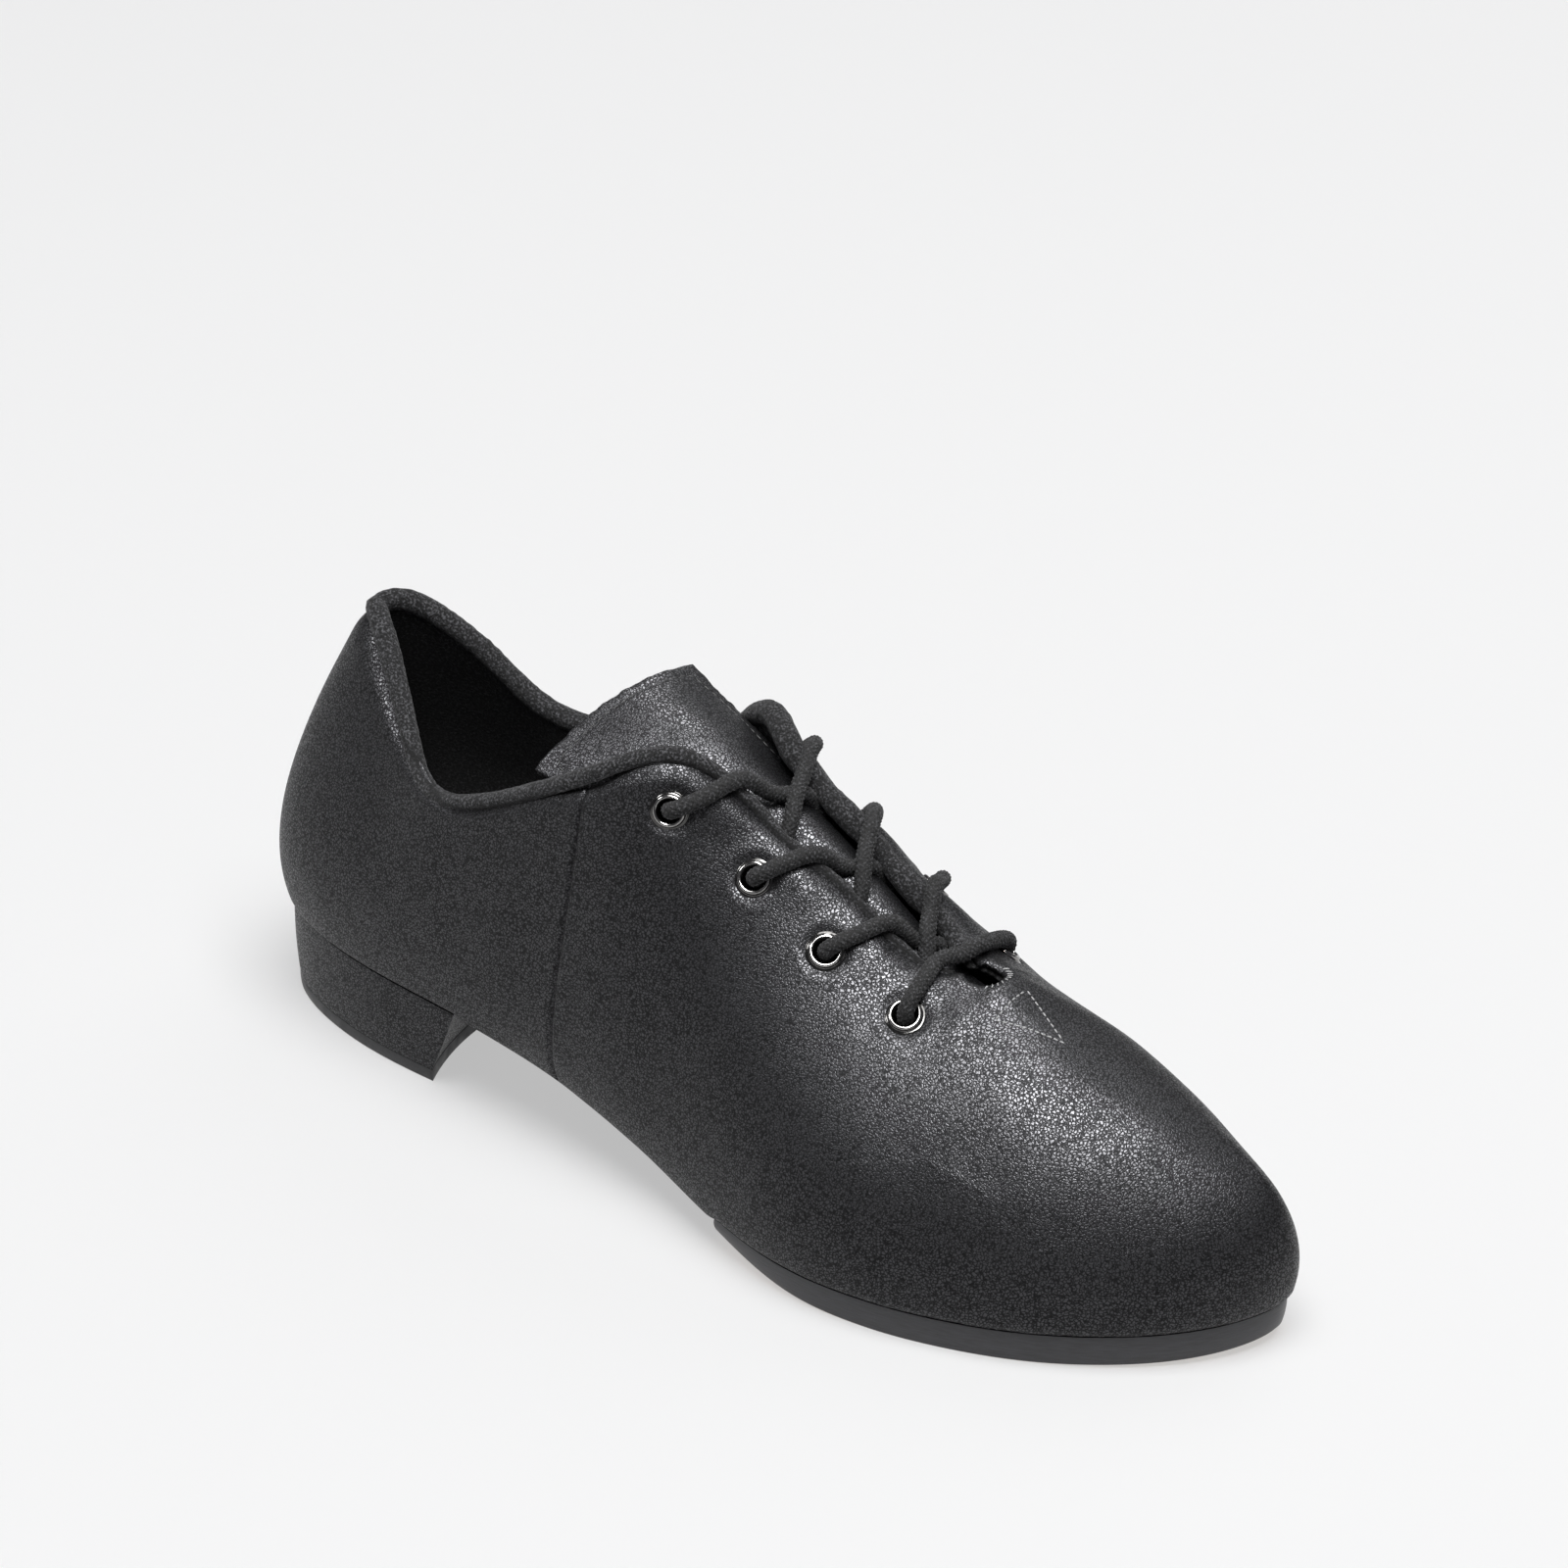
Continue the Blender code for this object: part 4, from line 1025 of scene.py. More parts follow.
def smooth_ridge(points, faces, facts, rounds):
    """Rounds the line where the two sides meet over the instep and toe, and the rib at the throat."""
    station, _, below, _ = facts.T
    ridge = smooth_step((13.0 - below) / 10.0) * smooth_step((station - THROAT_STATION - 0.1) / 0.5)
    from_rib = np.abs(station - THROAT_STATION - 0.05)
    rib = smooth_step((0.6 - from_rib) / 0.45) * smooth_step((below - 5.0) / 5.0) * (below < 45.0)
    return relax(points, faces, 0.9 * np.maximum(ridge, rib), rounds)


def leather_surface():
    """The finished outer surface of the upper, before it gets its thickness, and its shares of painted
    shade.
    """
    stations = np.union1d(even_stations(STATION_STEP), FINE_STATIONS)
    points, faces, facts = upper_surface(stations, UNDER_STEPS, WALL_STEPS)
    points = raise_edge(smooth_ridge(points, faces, facts, LEATHER_ROUNDS), facts, leather_rise)
    painted_shade = upper_painted_shade(points, facts)
    points = points + normals_of(points, faces) * upper_relief(points, facts)[:, None]
    points, faces = open_holes(points, faces, HOLE_RADIUS, HOLE_REACH)
    points, faces = open_throat(points, faces, facts, 0.0)
    faces, points, painted_shade = drop_unused(faces, points, painted_shade)
    return points, faces, painted_shade


def upper(points, faces, painted_shade, shade):
    skin, skin_faces, source = shell(points, faces, LEATHER)
    item = new_piece("upper_leather", skin, skin_faces, shade, painted_shade=painted_shade[source])
    bend_with_arch(item)
    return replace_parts(item, "vamp", "back_quarter")


def lining(shade):
    stations = even_stations(STATION_STEP * 2)
    points, faces, facts = upper_surface(stations, UNDER_STEPS // 2, WALL_STEPS // 2)
    points = raise_edge(smooth_ridge(points, faces, facts, LINING_ROUNDS), facts, lining_rise)
    depth = LINING_DEPTH - 0.12 * noise(points, 9.0, 7)
    points = points - normals_of(points, faces) * depth[:, None]
    points, faces = open_holes(points, faces, HOLE_RADIUS, HOLE_REACH)
    points, faces = open_throat(points, faces, facts, THROAT_SLACK)
    faces, points = drop_unused(faces, points)
    skin, skin_faces, _ = shell(points, faces, LINING, INNER_RIM_STEPS)
    item = new_piece("lining", skin, skin_faces, shade)
    bend_with_arch(item)
    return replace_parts(item, "vamp_lining", "quarter_lining")


# ---------------------------------------------------------------- the knit roll

ROLL_INWARD = INNER_DEPTH / 2 + 0.45
ROLL_END = 7.32
ROLL_END_LENGTH = 0.14       # stations over which the roll closes at its end
ROLL_RING = 40
ROLL_STEPS = 1150
ROLL_WALES = 12              # ribs of the knit round the roll
PINCH = 0.15                 # share by which a lace crossing squeezes the roll
PINCH_HALF = 0.085           # stations


def roll_section(side, station):
    """Half thickness and height of the middle of the roll, squeezed where the lace crosses it."""
    half = np.interp(station, *zip(*ROLL_HALF[side]))
    squeeze = np.ones(len(station))
    for crossing_station in (*OVER_STATIONS[side], *UNDER_STATIONS[side][1:]):
        squeeze -= PINCH * np.exp(-((station - crossing_station) / PINCH_HALF)**2)
    middle = along_edge(ROLL_TOP, side, station) - half * (2 - squeeze)
    end = np.sqrt(np.clip((ROLL_END - station) / ROLL_END_LENGTH, 0.004, 1))
    return half * squeeze * end, middle


def roll_rings(side, station):
    """Rings of points round the roll of one side, the middle of each, and the painted shade in the groove
    against the leather.
    """
    point, up, out = edge_frame(side, station)
    half, middle = roll_section(side, station)
    centre = point + up * middle[:, None] - out * ROLL_INWARD
    angle = np.linspace(0, 2 * math.pi, ROLL_RING, endpoint=False)
    ring = (out[:, None] * np.cos(angle)[:, None] + up[:, None] * np.sin(angle)[:, None])
    ring = ring * half[:, None, None]
    over_leather = middle[:, None] + half[:, None] * np.sin(angle) - leather_rise(side, station)[:, None]
    # Painted shade where the roll meets the leather's edge.
    groove = np.exp(-(over_leather / 0.55)**2) * (np.cos(angle) > 0)
    return centre[:, None] + ring, centre, groove


def knit_roll(shade):
    """The padded roll round the whole opening, from facing to facing round the heel."""
    station = np.linspace(ROLL_END, 0, ROLL_STEPS)
    sides = [roll_rings("lateral", station), roll_rings("medial", station[::-1][1:])]
    rings, centre, groove = (np.concatenate([a, b]) for a, b in zip(*sides))
    ring = rings - centre[:, None]
    wide = np.linalg.norm(ring[:, 0], axis=1)
    flat = rings.reshape(-1, 3)
    outwards = (ring / np.linalg.norm(ring, axis=2)[..., None]).reshape(-1, 3)
    angle = np.linspace(0, 2 * math.pi, ROLL_RING, endpoint=False)
    wales = np.tile(np.cos(angle * ROLL_WALES), len(rings))
    swell = 0.05 * wales + 0.14 * noise(flat, 1.1, 11) + 0.2 * noise(flat, 7.0, 12)
    size = np.repeat(wide / wide.max(), ROLL_RING)
    rings = (flat + outwards * (swell * size)[:, None]).reshape(rings.shape)
    points, faces = capped_tube(rings)
    painted_shade = np.append(groove.ravel(), (0, 0))
    item = new_piece("knit_roll", points, faces, shade, painted_shade=painted_shade)
    bend_with_arch(item)
    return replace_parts(item, "collar_binding", "facing_binding_lateral", "facing_binding_medial")


# ---------------------------------------------------------------- the tongue

TONGUE_ROWS = 190
TONGUE_COLUMNS = 96
TONGUE_STITCH = 2.3          # from the tongue's edge to its line of stitches
# How far the tongue swells up between the facings: X and height, and half the width of the swell.
TONGUE_SWELL = (
    (88.0, 0.0), (104.0, 0.0), (122.0, 3.0), (137.0, 6.5), (157.0, 7.0), (175.0, 5.0), (190.0, 1.0),
    (203.0, 0.0),
)
SWELL_HALF = 13.0


def tongue_grid(rows, columns):
    """The tongue's top surface."""
    knots = np.arange(len(TONGUE))
    values = spline(knots, TONGUE, np.linspace(0, len(TONGUE) - 1, rows))
    share = np.linspace(-1, 1, columns)[None, :]
    x, y, z, half, drop, lift, slant = (values[:, i:i + 1] for i in range(7))
    swell = np.interp(x, *zip(*TONGUE_SWELL)) * np.clip(1 - (half * share / SWELL_HALF)**2, 0, 1)**2
    height = z - drop * share**2 + lift * share + swell
    return np.stack([x + slant * share, y + half * share, height], axis=2)


def edge_distance(grid):
    """Distance of each grid point from the nearest of the grid's free edges, the first row left out."""
    sideways = np.linalg.norm(np.diff(grid, axis=1), axis=2)
    run = np.concatenate([np.zeros((len(grid), 1)), np.cumsum(sideways, axis=1)], axis=1)
    lengthways = np.linalg.norm(np.diff(grid, axis=0), axis=2)
    back = np.concatenate([np.cumsum(lengthways[::-1], axis=0)[::-1], np.zeros((1, grid.shape[1]))])
    return np.minimum(np.minimum(run, run[:, -1:] - run), back)


def tongue_surface():
    grid = tongue_grid(TONGUE_ROWS, TONGUE_COLUMNS)
    near = edge_distance(grid).ravel()
    points = grid.reshape(-1, 3)
    faces = quads(TONGUE_ROWS, TONGUE_COLUMNS, flip=True)
    relief = 0.12 * noise(points, 19.0, 21) + 0.05 * noise(points, 5.0, 22)
    relief -= 0.22 * np.exp(-((near - TONGUE_STITCH) / 0.45)**2)
    ragged = 0.35 * noise(points, 0.9, 23) * (near < 0.3)
    normals = normals_of(points, faces)
    return points + normals * (relief + ragged * 0.5)[:, None], faces, near


def tongue_piece(leather):
    points, faces, near = tongue_surface()
    thickness = TONGUE_LEATHER * (0.8 + 0.2 * smooth_step(near / 2.0))
    skin, skin_faces, source = shell(points, faces, thickness)
    # Painted shade in the groove of the line of stitches.
    groove = 0.7 * np.exp(-((near - TONGUE_STITCH) / 0.3)**2)
    item = new_piece("tongue_leather", skin, skin_faces, leather, painted_shade=groove[source])
    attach(item, "tongue_flap")
    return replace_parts(item, "tongue")


def tongue_backing(shade):
    points, faces, near = tongue_surface()
    depth = TONGUE_LEATHER + 0.25
    points = points - normals_of(points, faces) * depth
    points = points + np.random.default_rng(31).normal(0, 0.09, points.shape) * (near < 0.6)[:, None]
    skin, skin_faces, _ = shell(points, faces, TONGUE_LINING, INNER_RIM_STEPS)
    item = new_piece("tongue_backing", skin, skin_faces, shade)
    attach(item, "tongue_flap")
    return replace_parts(item, "tongue_lining")


# ---------------------------------------------------------------- the lace

# Where the lace rounds the edge of each facing, for its eyelets in order: over it, then under it.
OVER_STATIONS = {"lateral": (5.41, 6.11, 6.79, 7.2), "medial": (5.48, 6.16, 6.8, 7.3)}
UNDER_STATIONS = {"lateral": (5.0, 5.83, 6.52, 7.1), "medial": (5.0, 5.7, 6.4, 7.06)}
# Where the lace touches the roll: station from the crossing and angle on its way over, and the angle
# on its way under.
OVER_ANGLES = {"lateral": ((0.0, 50),), "medial": ((-0.05, 15), (0.02, 48), (0.1, 80))}
BAR_ANGLES = {"lateral": ((0.0, 60),), "medial": ((0.0, 20), (0.0, 60))}
UNDER_ANGLES = {"lateral": (150, 190), "medial": (140, 195)}
LACE_LIFT = 1.6              # half the height between two strands where they cross
LACE_ON_ROLL = -0.1          # gap between the lace and the roll it rounds
LACE_ON_LEATHER = 1.6        # height of the lace's middle where it lies on the facing
# The lace's bends at an eyelet: distance from the eyelet's axis and height off the leather.
OVER_BEND = ((0.0, -2.2), (0.1, -0.6), (0.65, 0.75), (1.9, 1.75), (3.7, 2.1))
UNDER_BEND = ((0.0, -4.0), (0.1, -5.3), (0.9, -6.5), (2.3, -7.0), (4.2, -6.9))
LACE_STRANDS = 8            # braid strands each way round
LACE_RING = 44
LACE_STEP = 0.26
BRAID_PITCH = 9.0            # length in which a braid strand goes once round
BRAID_LOW = 0.79             # share of the lace's radius in the braid's hollows
BRAID_RISE = 0.26            # and how much is added on a strand's crown


def bend(side, number, toward, steps):
    """Points of the lace's bend at an eyelet, on its way to a point outside it."""
    centre, normal, _ = eyelet_frame(side, EYELET_STATIONS[number])
    flat = toward - centre
    flat -= normal * np.dot(flat, normal)
    flat /= np.linalg.norm(flat)
    return [centre + flat * away + normal * height for away, height in steps]


def crossing(side, station, angle):
    """A point where the lace rounds the roll of a facing: 0 degrees outside it, 180 inside it."""
    point, out, normal = (row[0] for row in edge_frame(side, station))
    half, middle = (size[0] for size in roll_section(side, np.array([station])))
    centre = point + out * middle - normal * ROLL_INWARD
    turned = math.radians(angle)
    away = half + LACE_RADIUS + LACE_ON_ROLL
    return centre + away * (normal * math.cos(turned) + out * math.sin(turned))


def resting(tree, start, end, shares):
    """Points between two others where the lace lies on the leather."""
    laid = []
    for share in shares:
        spot = start * (1 - share) + end * share
        hit, normal, _, _ = tree.find_nearest(Vector(spot))
        laid.append(np.array(hit) + np.array(normal) * LACE_ON_LEATHER)
    return laid


def over(tree, side, number, turns=OVER_ANGLES):
    """From an eyelet's hole over the leather and the roll of its facing."""
    station = OVER_STATIONS[side][number]
    rounding = [crossing(side, station + along, angle) for along, angle in turns[side]]
    out_of_hole = bend(side, number, rounding[0], OVER_BEND)
    return out_of_hole + resting(tree, out_of_hole[-1], rounding[0], (0.45,)) + rounding


def under(side, number):
    """From between the tongue and the facing into an eyelet's inner end."""
    rounding = [crossing(side, UNDER_STATIONS[side][number], angle) for angle in UNDER_ANGLES[side]]
    return rounding + bend(side, number, rounding[-1], UNDER_BEND)[::-1]


def strand(tree, upper_side, lower_side, number, high):
    """One diagonal: out of an eyelet over its facing, and under the other facing to the next eyelet."""
    start = over(tree, upper_side, number)
    end = under(lower_side, number + 1)
    lift = LACE_LIFT if high else -LACE_LIFT
    middle = 0.5 * (start[-1] + end[0]) + np.array([0.0, 0.0, lift])
    return start + [middle] + end


def lace_end(side, aside):
    """From the inner end of a top eyelet back along the lining, where the end is tucked away."""
    tuck = np.array([-9.0, aside, 1.5])
    centre, _, _ = eyelet_frame(side, EYELET_STATIONS[0])
    turn = bend(side, 0, centre + tuck, UNDER_BEND)
    return turn + [turn[-1] + tuck * 0.5, turn[-1] + tuck * 1.3]


def lace_route(tree):
    """The whole lace: its ends are tucked inside at the top, and a bar crosses at the bottom."""
    route = lace_end("lateral", 0.0)[::-1]
    route += strand(tree, "lateral", "medial", 0, False)
    route += strand(tree, "medial", "lateral", 1, True)
    route += strand(tree, "lateral", "medial", 2, False)
    far = over(tree, "medial", 3, BAR_ANGLES)
    near = over(tree, "lateral", 3, BAR_ANGLES)
    route += far + [0.5 * (far[-1] + near[-1])] + near[::-1]
    route += strand(tree, "medial", "lateral", 2, True)[::-1]
    route += strand(tree, "lateral", "medial", 1, False)[::-1]
    route += strand(tree, "medial", "lateral", 0, True)[::-1]
    route += lace_end("medial", 2.0)
    return np.array(route)


def even_route(points, spacing):
    """A spline through the route's points, read at an even spacing."""
    length = np.concatenate([[0], np.cumsum(np.linalg.norm(np.diff(points, axis=0), axis=1))])
    keep = np.concatenate([[True], np.diff(length) > 0.05])
    dense = spline(length[keep], points[keep], np.arange(0, length[-1], spacing / 4))
    run = np.concatenate([[0], np.cumsum(np.linalg.norm(np.diff(dense, axis=0), axis=1))])
    at = np.arange(0, run[-1], spacing)
    return np.stack([np.interp(at, run, dense[:, i]) for i in range(3)], axis=1), at


def braid_height(turn, along):
    """Relief of a one-over-one braid, 0 to 1, from the share of a turn and the length along."""
    wrap = along / BRAID_PITCH
    left = (turn + wrap) * LACE_STRANDS
    right = (turn - wrap) * LACE_STRANDS
    rise_left = np.abs(np.sin(math.pi * left))
    rise_right = np.abs(np.sin(math.pi * right))
    left_over = (np.floor(left) + np.floor(right)) % 2 == 0
    left_on_top = rise_left * (0.55 + 0.45 * rise_right)
    right_on_top = rise_right * (0.55 + 0.45 * rise_left)
    return np.where(left_over, left_on_top, right_on_top)


def lace_piece(tree, shade):
    line, along = even_route(lace_route(tree), LACE_STEP)
    _, first, second = frames_along(line)
    turn = np.linspace(0, 1, LACE_RING, endpoint=False)
    angle = 2 * math.pi * turn
    braid = braid_height(turn[None, :], along[:, None])
    body = LACE_RADIUS * (BRAID_LOW + BRAID_RISE * braid)
    body = body * (1 + 0.035 * noise(line, 7.0, 41))[:, None]
    end = np.sqrt(np.clip(np.minimum(along, along[-1] - along) / 1.2, 0.02, 1))
    body = body * end[:, None]
    rings = (line[:, None] + first[:, None] * (body * np.cos(angle))[..., None]
             + second[:, None] * (body * np.sin(angle))[..., None])
    points, faces = capped_tube(rings)
    # Painted shade in the braid's hollows.
    painted_shade = np.append((1 - braid.ravel())**1.5, (0, 0))
    item = new_piece("braided_lace", points, faces, shade, painted_shade=painted_shade)
    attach(item, "forefoot")
    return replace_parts(item, "shoelace")


# ---------------------------------------------------------------- eyelets

EYELET_STEPS = 56
EYELET_SUNK = 0.55           # how far the flange is pressed into the leather
CROWN_RADIUS = 3.1           # middle of the rolled ring round the hole
CROWN_ROUND = 0.5            # and its half thickness
CROWN_HEIGHT = 0.5


def eyelet_profile():
    """Half section of a rolled eyelet, radius, height and painted shade, as a closed loop."""
    crown = [(CROWN_RADIUS + CROWN_ROUND * math.cos(a), CROWN_HEIGHT + CROWN_ROUND * math.sin(a), 0.0)
             for a in np.radians(np.linspace(190, -10, 13))]
    inside = EYELET_END + 0.5
    return [
        (EYELET_HOLE, inside, 1), (EYELET_HOLE, -1.2, 1), (2.2, -0.6, 1), (2.45, -0.1, 0.9), *crown,
        (3.75, 0.2, 0.7), (3.95, 0.12, 0.9), (4.2, 0.1, 0.9), (EYELET_FLANGE, 0.02, 0.9), (4.3, -0.1, 1),
        (3.2, -0.1, 1), (EYELET_BARREL + 0.1, -0.3, 1), (EYELET_BARREL, -0.8, 1),
        (EYELET_BARREL, inside + 0.5, 1), (EYELET_BARREL + 0.6, inside + 0.4, 0),
        (EYELET_BARREL + 0.75, inside + 0.1, 0), (EYELET_BARREL + 0.55, inside - 0.18, 0),
        (EYELET_BARREL + 0.1, inside - 0.25, 0), (EYELET_HOLE + 0.15, inside - 0.2, 0.5),
    ]


def eyelet_piece(side, number, shade):
    centre, normal, to_edge = eyelet_frame(side, EYELET_STATIONS[number - 1])
    sideways = np.cross(normal, to_edge)
    base = centre - normal * EYELET_SUNK
    # The third column is the share of painted shade: inside the hole and round the flange, none on the
    # crown.
    *profile, dark = np.array(eyelet_profile()).T
    profile = np.stack(profile, axis=1)
    angle = np.linspace(0, 2 * math.pi, EYELET_STEPS, endpoint=False)
    spoke = to_edge * np.cos(angle)[:, None] + sideways * np.sin(angle)[:, None]
    grid = base + profile[:, None, :1] * spoke[None] + profile[:, None, 1:] * normal
    faces = quads(len(profile) + 1, EYELET_STEPS, loop=True) % (len(profile) * EYELET_STEPS)
    item = new_piece(f"eyelet_ring_{side}_{number}", grid.reshape(-1, 3), faces, shade,
                     painted_shade=np.repeat(dark, EYELET_STEPS))
    face_outwards(item)
    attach(item, "forefoot")
    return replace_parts(item, f"eyelet_{side}_{number}")


def face_outwards(item):
    bm = bmesh.new()
    bm.from_mesh(item.data)
    bmesh.ops.recalc_face_normals(bm, faces=bm.faces)
    bm.to_mesh(item.data)
    bm.free()


# ---------------------------------------------------------------- heel, sole and sock

SOLE_START = 5.62
SOLE_COLUMNS = 41
HEEL_COLUMNS = 33
SOCK_STATIONS = 211
SOCK_EDGE_RISE = 0.5         # how far the sock turns up towards its edges

def slab(top, bottom, wall_rows, bulge):
    """A closed block between two grids, its wall in several rows that bulge at half height."""
    rows, columns = top.shape[:2]
    loop = [(i, 0) for i in range(rows)]
    loop += [(rows - 1, j) for j in range(1, columns)]
    loop += [(i, columns - 1) for i in range(rows - 2, -1, -1)]
    loop += [(0, j) for j in range(columns - 2, -1, -1)]
    upper_ring = np.array([top[i, j] for i, j in loop])
    lower_ring = np.array([bottom[i, j] for i, j in loop])
    middle = 0.5 * (upper_ring + lower_ring).mean(axis=0)
    away = 0.5 * (upper_ring + lower_ring) - middle
    away[:, 2] = 0
    away /= np.maximum(np.linalg.norm(away, axis=1), 1e-9)[:, None]
    share = np.linspace(0, 1, wall_rows + 1)[:, None, None]
    side = upper_ring * (1 - share) + lower_ring * share + away * bulge * 4 * share * (1 - share)
    points = np.concatenate([top.reshape(-1, 3), bottom.reshape(-1, 3), side.reshape(-1, 3)])
    faces = np.concatenate([
        quads(rows, columns),
        quads(rows, columns, flip=True) + rows * columns,
        quads(wall_rows + 1, len(loop)) + 2 * rows * columns,
    ])
    first, faces = sew(points, faces)
    return points[first], clean_faces(faces)


def clean_faces(faces):
    """Faces without repeated corners; those left with fewer than three corners are dropped."""
    kept = []
    for face in faces.tolist():
        ring = [v for k, v in enumerate(face) if v != face[k - 1]]
        if len(set(ring)) == len(ring) and len(ring) > 2:
            kept.append(tuple(ring))
    return kept


def soften(item, width, segments=4, angle=38.0):
    """Rounds the piece's sharp edges."""
    bevel = item.modifiers.new("soft_edges", "BEVEL")
    bevel.width = width * MM
    bevel.segments = segments
    bevel.limit_method = "ANGLE"
    bevel.angle_limit = math.radians(angle)
    bevel.use_clamp_overlap = True
    return item


def bowed(grid, stations, bow, rake):
    """Pulls the middle of the front edge back by the bow, and the whole of it back by the rake."""
    share = np.linspace(-1, 1, grid.shape[1])
    late = ((np.asarray(stations) / stations[-1])**6)[:, None]
    shifted = grid.copy()
    shifted[..., 0] -= late * (bow * (1 - share**2)[None, :] + rake)
    return shifted


def heel_section(inset, height, rake):
    stations = np.concatenate([np.linspace(0, 1, 26), np.linspace(1.04, HEEL_BREAST_STATION, 48)])
    grid = bowed(across(stations, inset, HEEL_COLUMNS), stations, HEEL_BREAST_BOW, rake)
    if height is not None:
        grid[..., 2] = height
    return grid


def lifted(grid, height):
    return grid + np.array([0.0, 0.0, 1.0]) * height


def heel_cover(shade):
    top = lifted(heel_section(HEEL_INSET_TOP, None, 0.0), -GAP)
    bottom = heel_section(HEEL_INSET_BOTTOM - 0.15, TOP_LIFT + 0.12, HEEL_BREAST_RAKE)
    points, faces = slab(top, bottom, 18, 0.35)
    from_top = on_feather_height(points)[:, 2] - GAP - points[:, 2]
    # Painted shade along the joint with the upper and along the top lift's line.
    painted_shade = np.exp(-(from_top / 0.5)**2) + np.exp(-((points[:, 2] - TOP_LIFT) / 0.3)**2)
    painted_shade = np.clip(painted_shade, 0, 1)
    item = new_piece("heel_covered_block", points, faces, shade, painted_shade=painted_shade)
    face_outwards(item)
    soften(item, 0.55)
    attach(item, "rear")
    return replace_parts(item, "heel_block")


def top_lift(shade):
    top = heel_section(HEEL_INSET_BOTTOM - 0.1, TOP_LIFT - 0.05, HEEL_BREAST_RAKE)
    bottom = heel_section(HEEL_INSET_BOTTOM + 0.15, 0.0, HEEL_BREAST_RAKE)
    points, faces = slab(top, bottom, 5, 0.12)
    item = new_piece("heel_rubber_lift", points, faces, shade)
    face_outwards(item)
    soften(item, 0.4)
    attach(item, "rear")
    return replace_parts(item, "heel_top_lift")


def fore_sole(edge, underside):
    stations = np.concatenate([np.linspace(SOLE_START, 8.9, 110), np.linspace(8.92, TOE_STATION, 80)])
    top = lifted(across(stations, SOLE_INSET - 0.1, SOLE_COLUMNS), -0.12)
    bottom = across(stations, SOLE_INSET + 0.5, SOLE_COLUMNS)
    bottom[..., 2] = spline(*zip(*SOLE_BOTTOM), stations)
    points, faces = slab(top, bottom, 12, 0.3)
    item = new_piece("forefoot_sole_leather", points, faces, edge)
    face_outwards(item)
    item.data.materials.append(underside)
    for face in item.data.polygons:
        if face.normal.z < -0.8:
            face.material_index = 1
    soften(item, 0.5)
    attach(item, "forefoot")
    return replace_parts(item, "forefoot_sole")


def sock_pad(shade):
    low = INNER_DEPTH + GAP + BOARD + GAP
    stations = np.linspace(0, TOE_STATION, SOCK_STATIONS)
    grid = lifted(across(stations, BOARD_INSET, SOLE_COLUMNS), low + SOCK)
    share = np.linspace(-1, 1, SOLE_COLUMNS)[None, :]
    grid[..., 2] += SOCK_EDGE_RISE * share**4
    points = grid.reshape(-1, 3)
    first, faces = sew(points, quads(*grid.shape[:2]))
    points = points[first]
    points[:, 2] += 0.2 * noise(points, 12.0, 51)
    skin, skin_faces, _ = shell(points, faces, SOCK, INNER_RIM_STEPS)
    item = new_piece("sock_pad", skin, skin_faces, shade)
    face_outwards(item)
    bend_with_arch(item)
    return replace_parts(item, "heel_sock", "forefoot_sock")


# ---------------------------------------------------------------- stitching

def stitch_shape():
    """A grain-shaped stitch one unit long and one unit thick, along X."""
    turns = np.linspace(0, 2 * math.pi, 8, endpoint=False)
    rows = []
    for x, size in ((-0.5, 0.12), (-0.42, 0.34), (-0.2, 0.5), (0.2, 0.5), (0.42, 0.34), (0.5, 0.12)):
        rows.append(np.stack([np.full(8, x), size * np.cos(turns), size * np.sin(turns)], axis=1))
    return capped_tube(np.array(rows))


def stitches(name, line, surface_tree, shade, slot, pitch=1.9, fill=0.72, thick=0.42, sunk=0.1, slant=0.0):
    """A row of separate stitches that lies on a surface along a line, each turned by the slant."""
    shape, shape_faces = stitch_shape()
    run = np.concatenate([[0], np.cumsum(np.linalg.norm(np.diff(line, axis=0), axis=1))])
    count = max(1, int(run[-1] / pitch))
    marks = np.linspace(0, run[-1], count + 1)
    spots = np.stack([np.interp(marks, run, line[:, i]) for i in range(3)], axis=1)
    points, faces = [], []
    for start, end in zip(spots, spots[1:]):
        middle, normal, _, _ = surface_tree.find_nearest(Vector(0.5 * (start + end)))
        normal = np.array(normal)
        along = end - start
        length = np.linalg.norm(along)
        along = along - normal * np.dot(along, normal)
        along /= np.linalg.norm(along)
        sideways = np.cross(normal, along)
        turn = math.radians(slant)
        along, sideways = (along * math.cos(turn) + sideways * math.sin(turn),
                           sideways * math.cos(turn) - along * math.sin(turn))
        axes = np.array([along * length * fill, sideways * thick, normal * thick])
        faces += [tuple(v + len(shape) * len(points) for v in face) for face in shape_faces]
        points.append(np.array(middle) + normal * (thick / 2 - sunk - 0.1) + shape @ axes)
    item = new_piece(name, np.concatenate(points), faces, shade)
    face_outwards(item)
    return item


def tree_of(points, faces):
    return BVHTree.FromPolygons(points.tolist(), [tuple(face) for face in faces])


def dropped_on(tree, outline):
    """Points of a plan outline, dropped onto the surface from above, with more between them."""
    line = []
    for (x0, y0), (x1, y1) in zip(outline, outline[1:]):
        for share in np.linspace(0, 1, 12, endpoint=False):
            plan = (x0 + (x1 - x0) * share, y0 + (y1 - y0) * share)
            hit, _, _, _ = tree.ray_cast(Vector((*plan, 150.0)), Vector((0, 0, -1)))
            line.append(np.array(hit))
    return np.array(line)


def throat_arc():
    """Plan outline of the stitched arc round the end of the throat."""
    x, y, radius = THROAT_END
    angles = np.radians(np.linspace(-55, 75, 13))
    return [(x + (radius + 1.0) * math.cos(a), y + (radius + 1.0) * math.sin(a)) for a in angles]


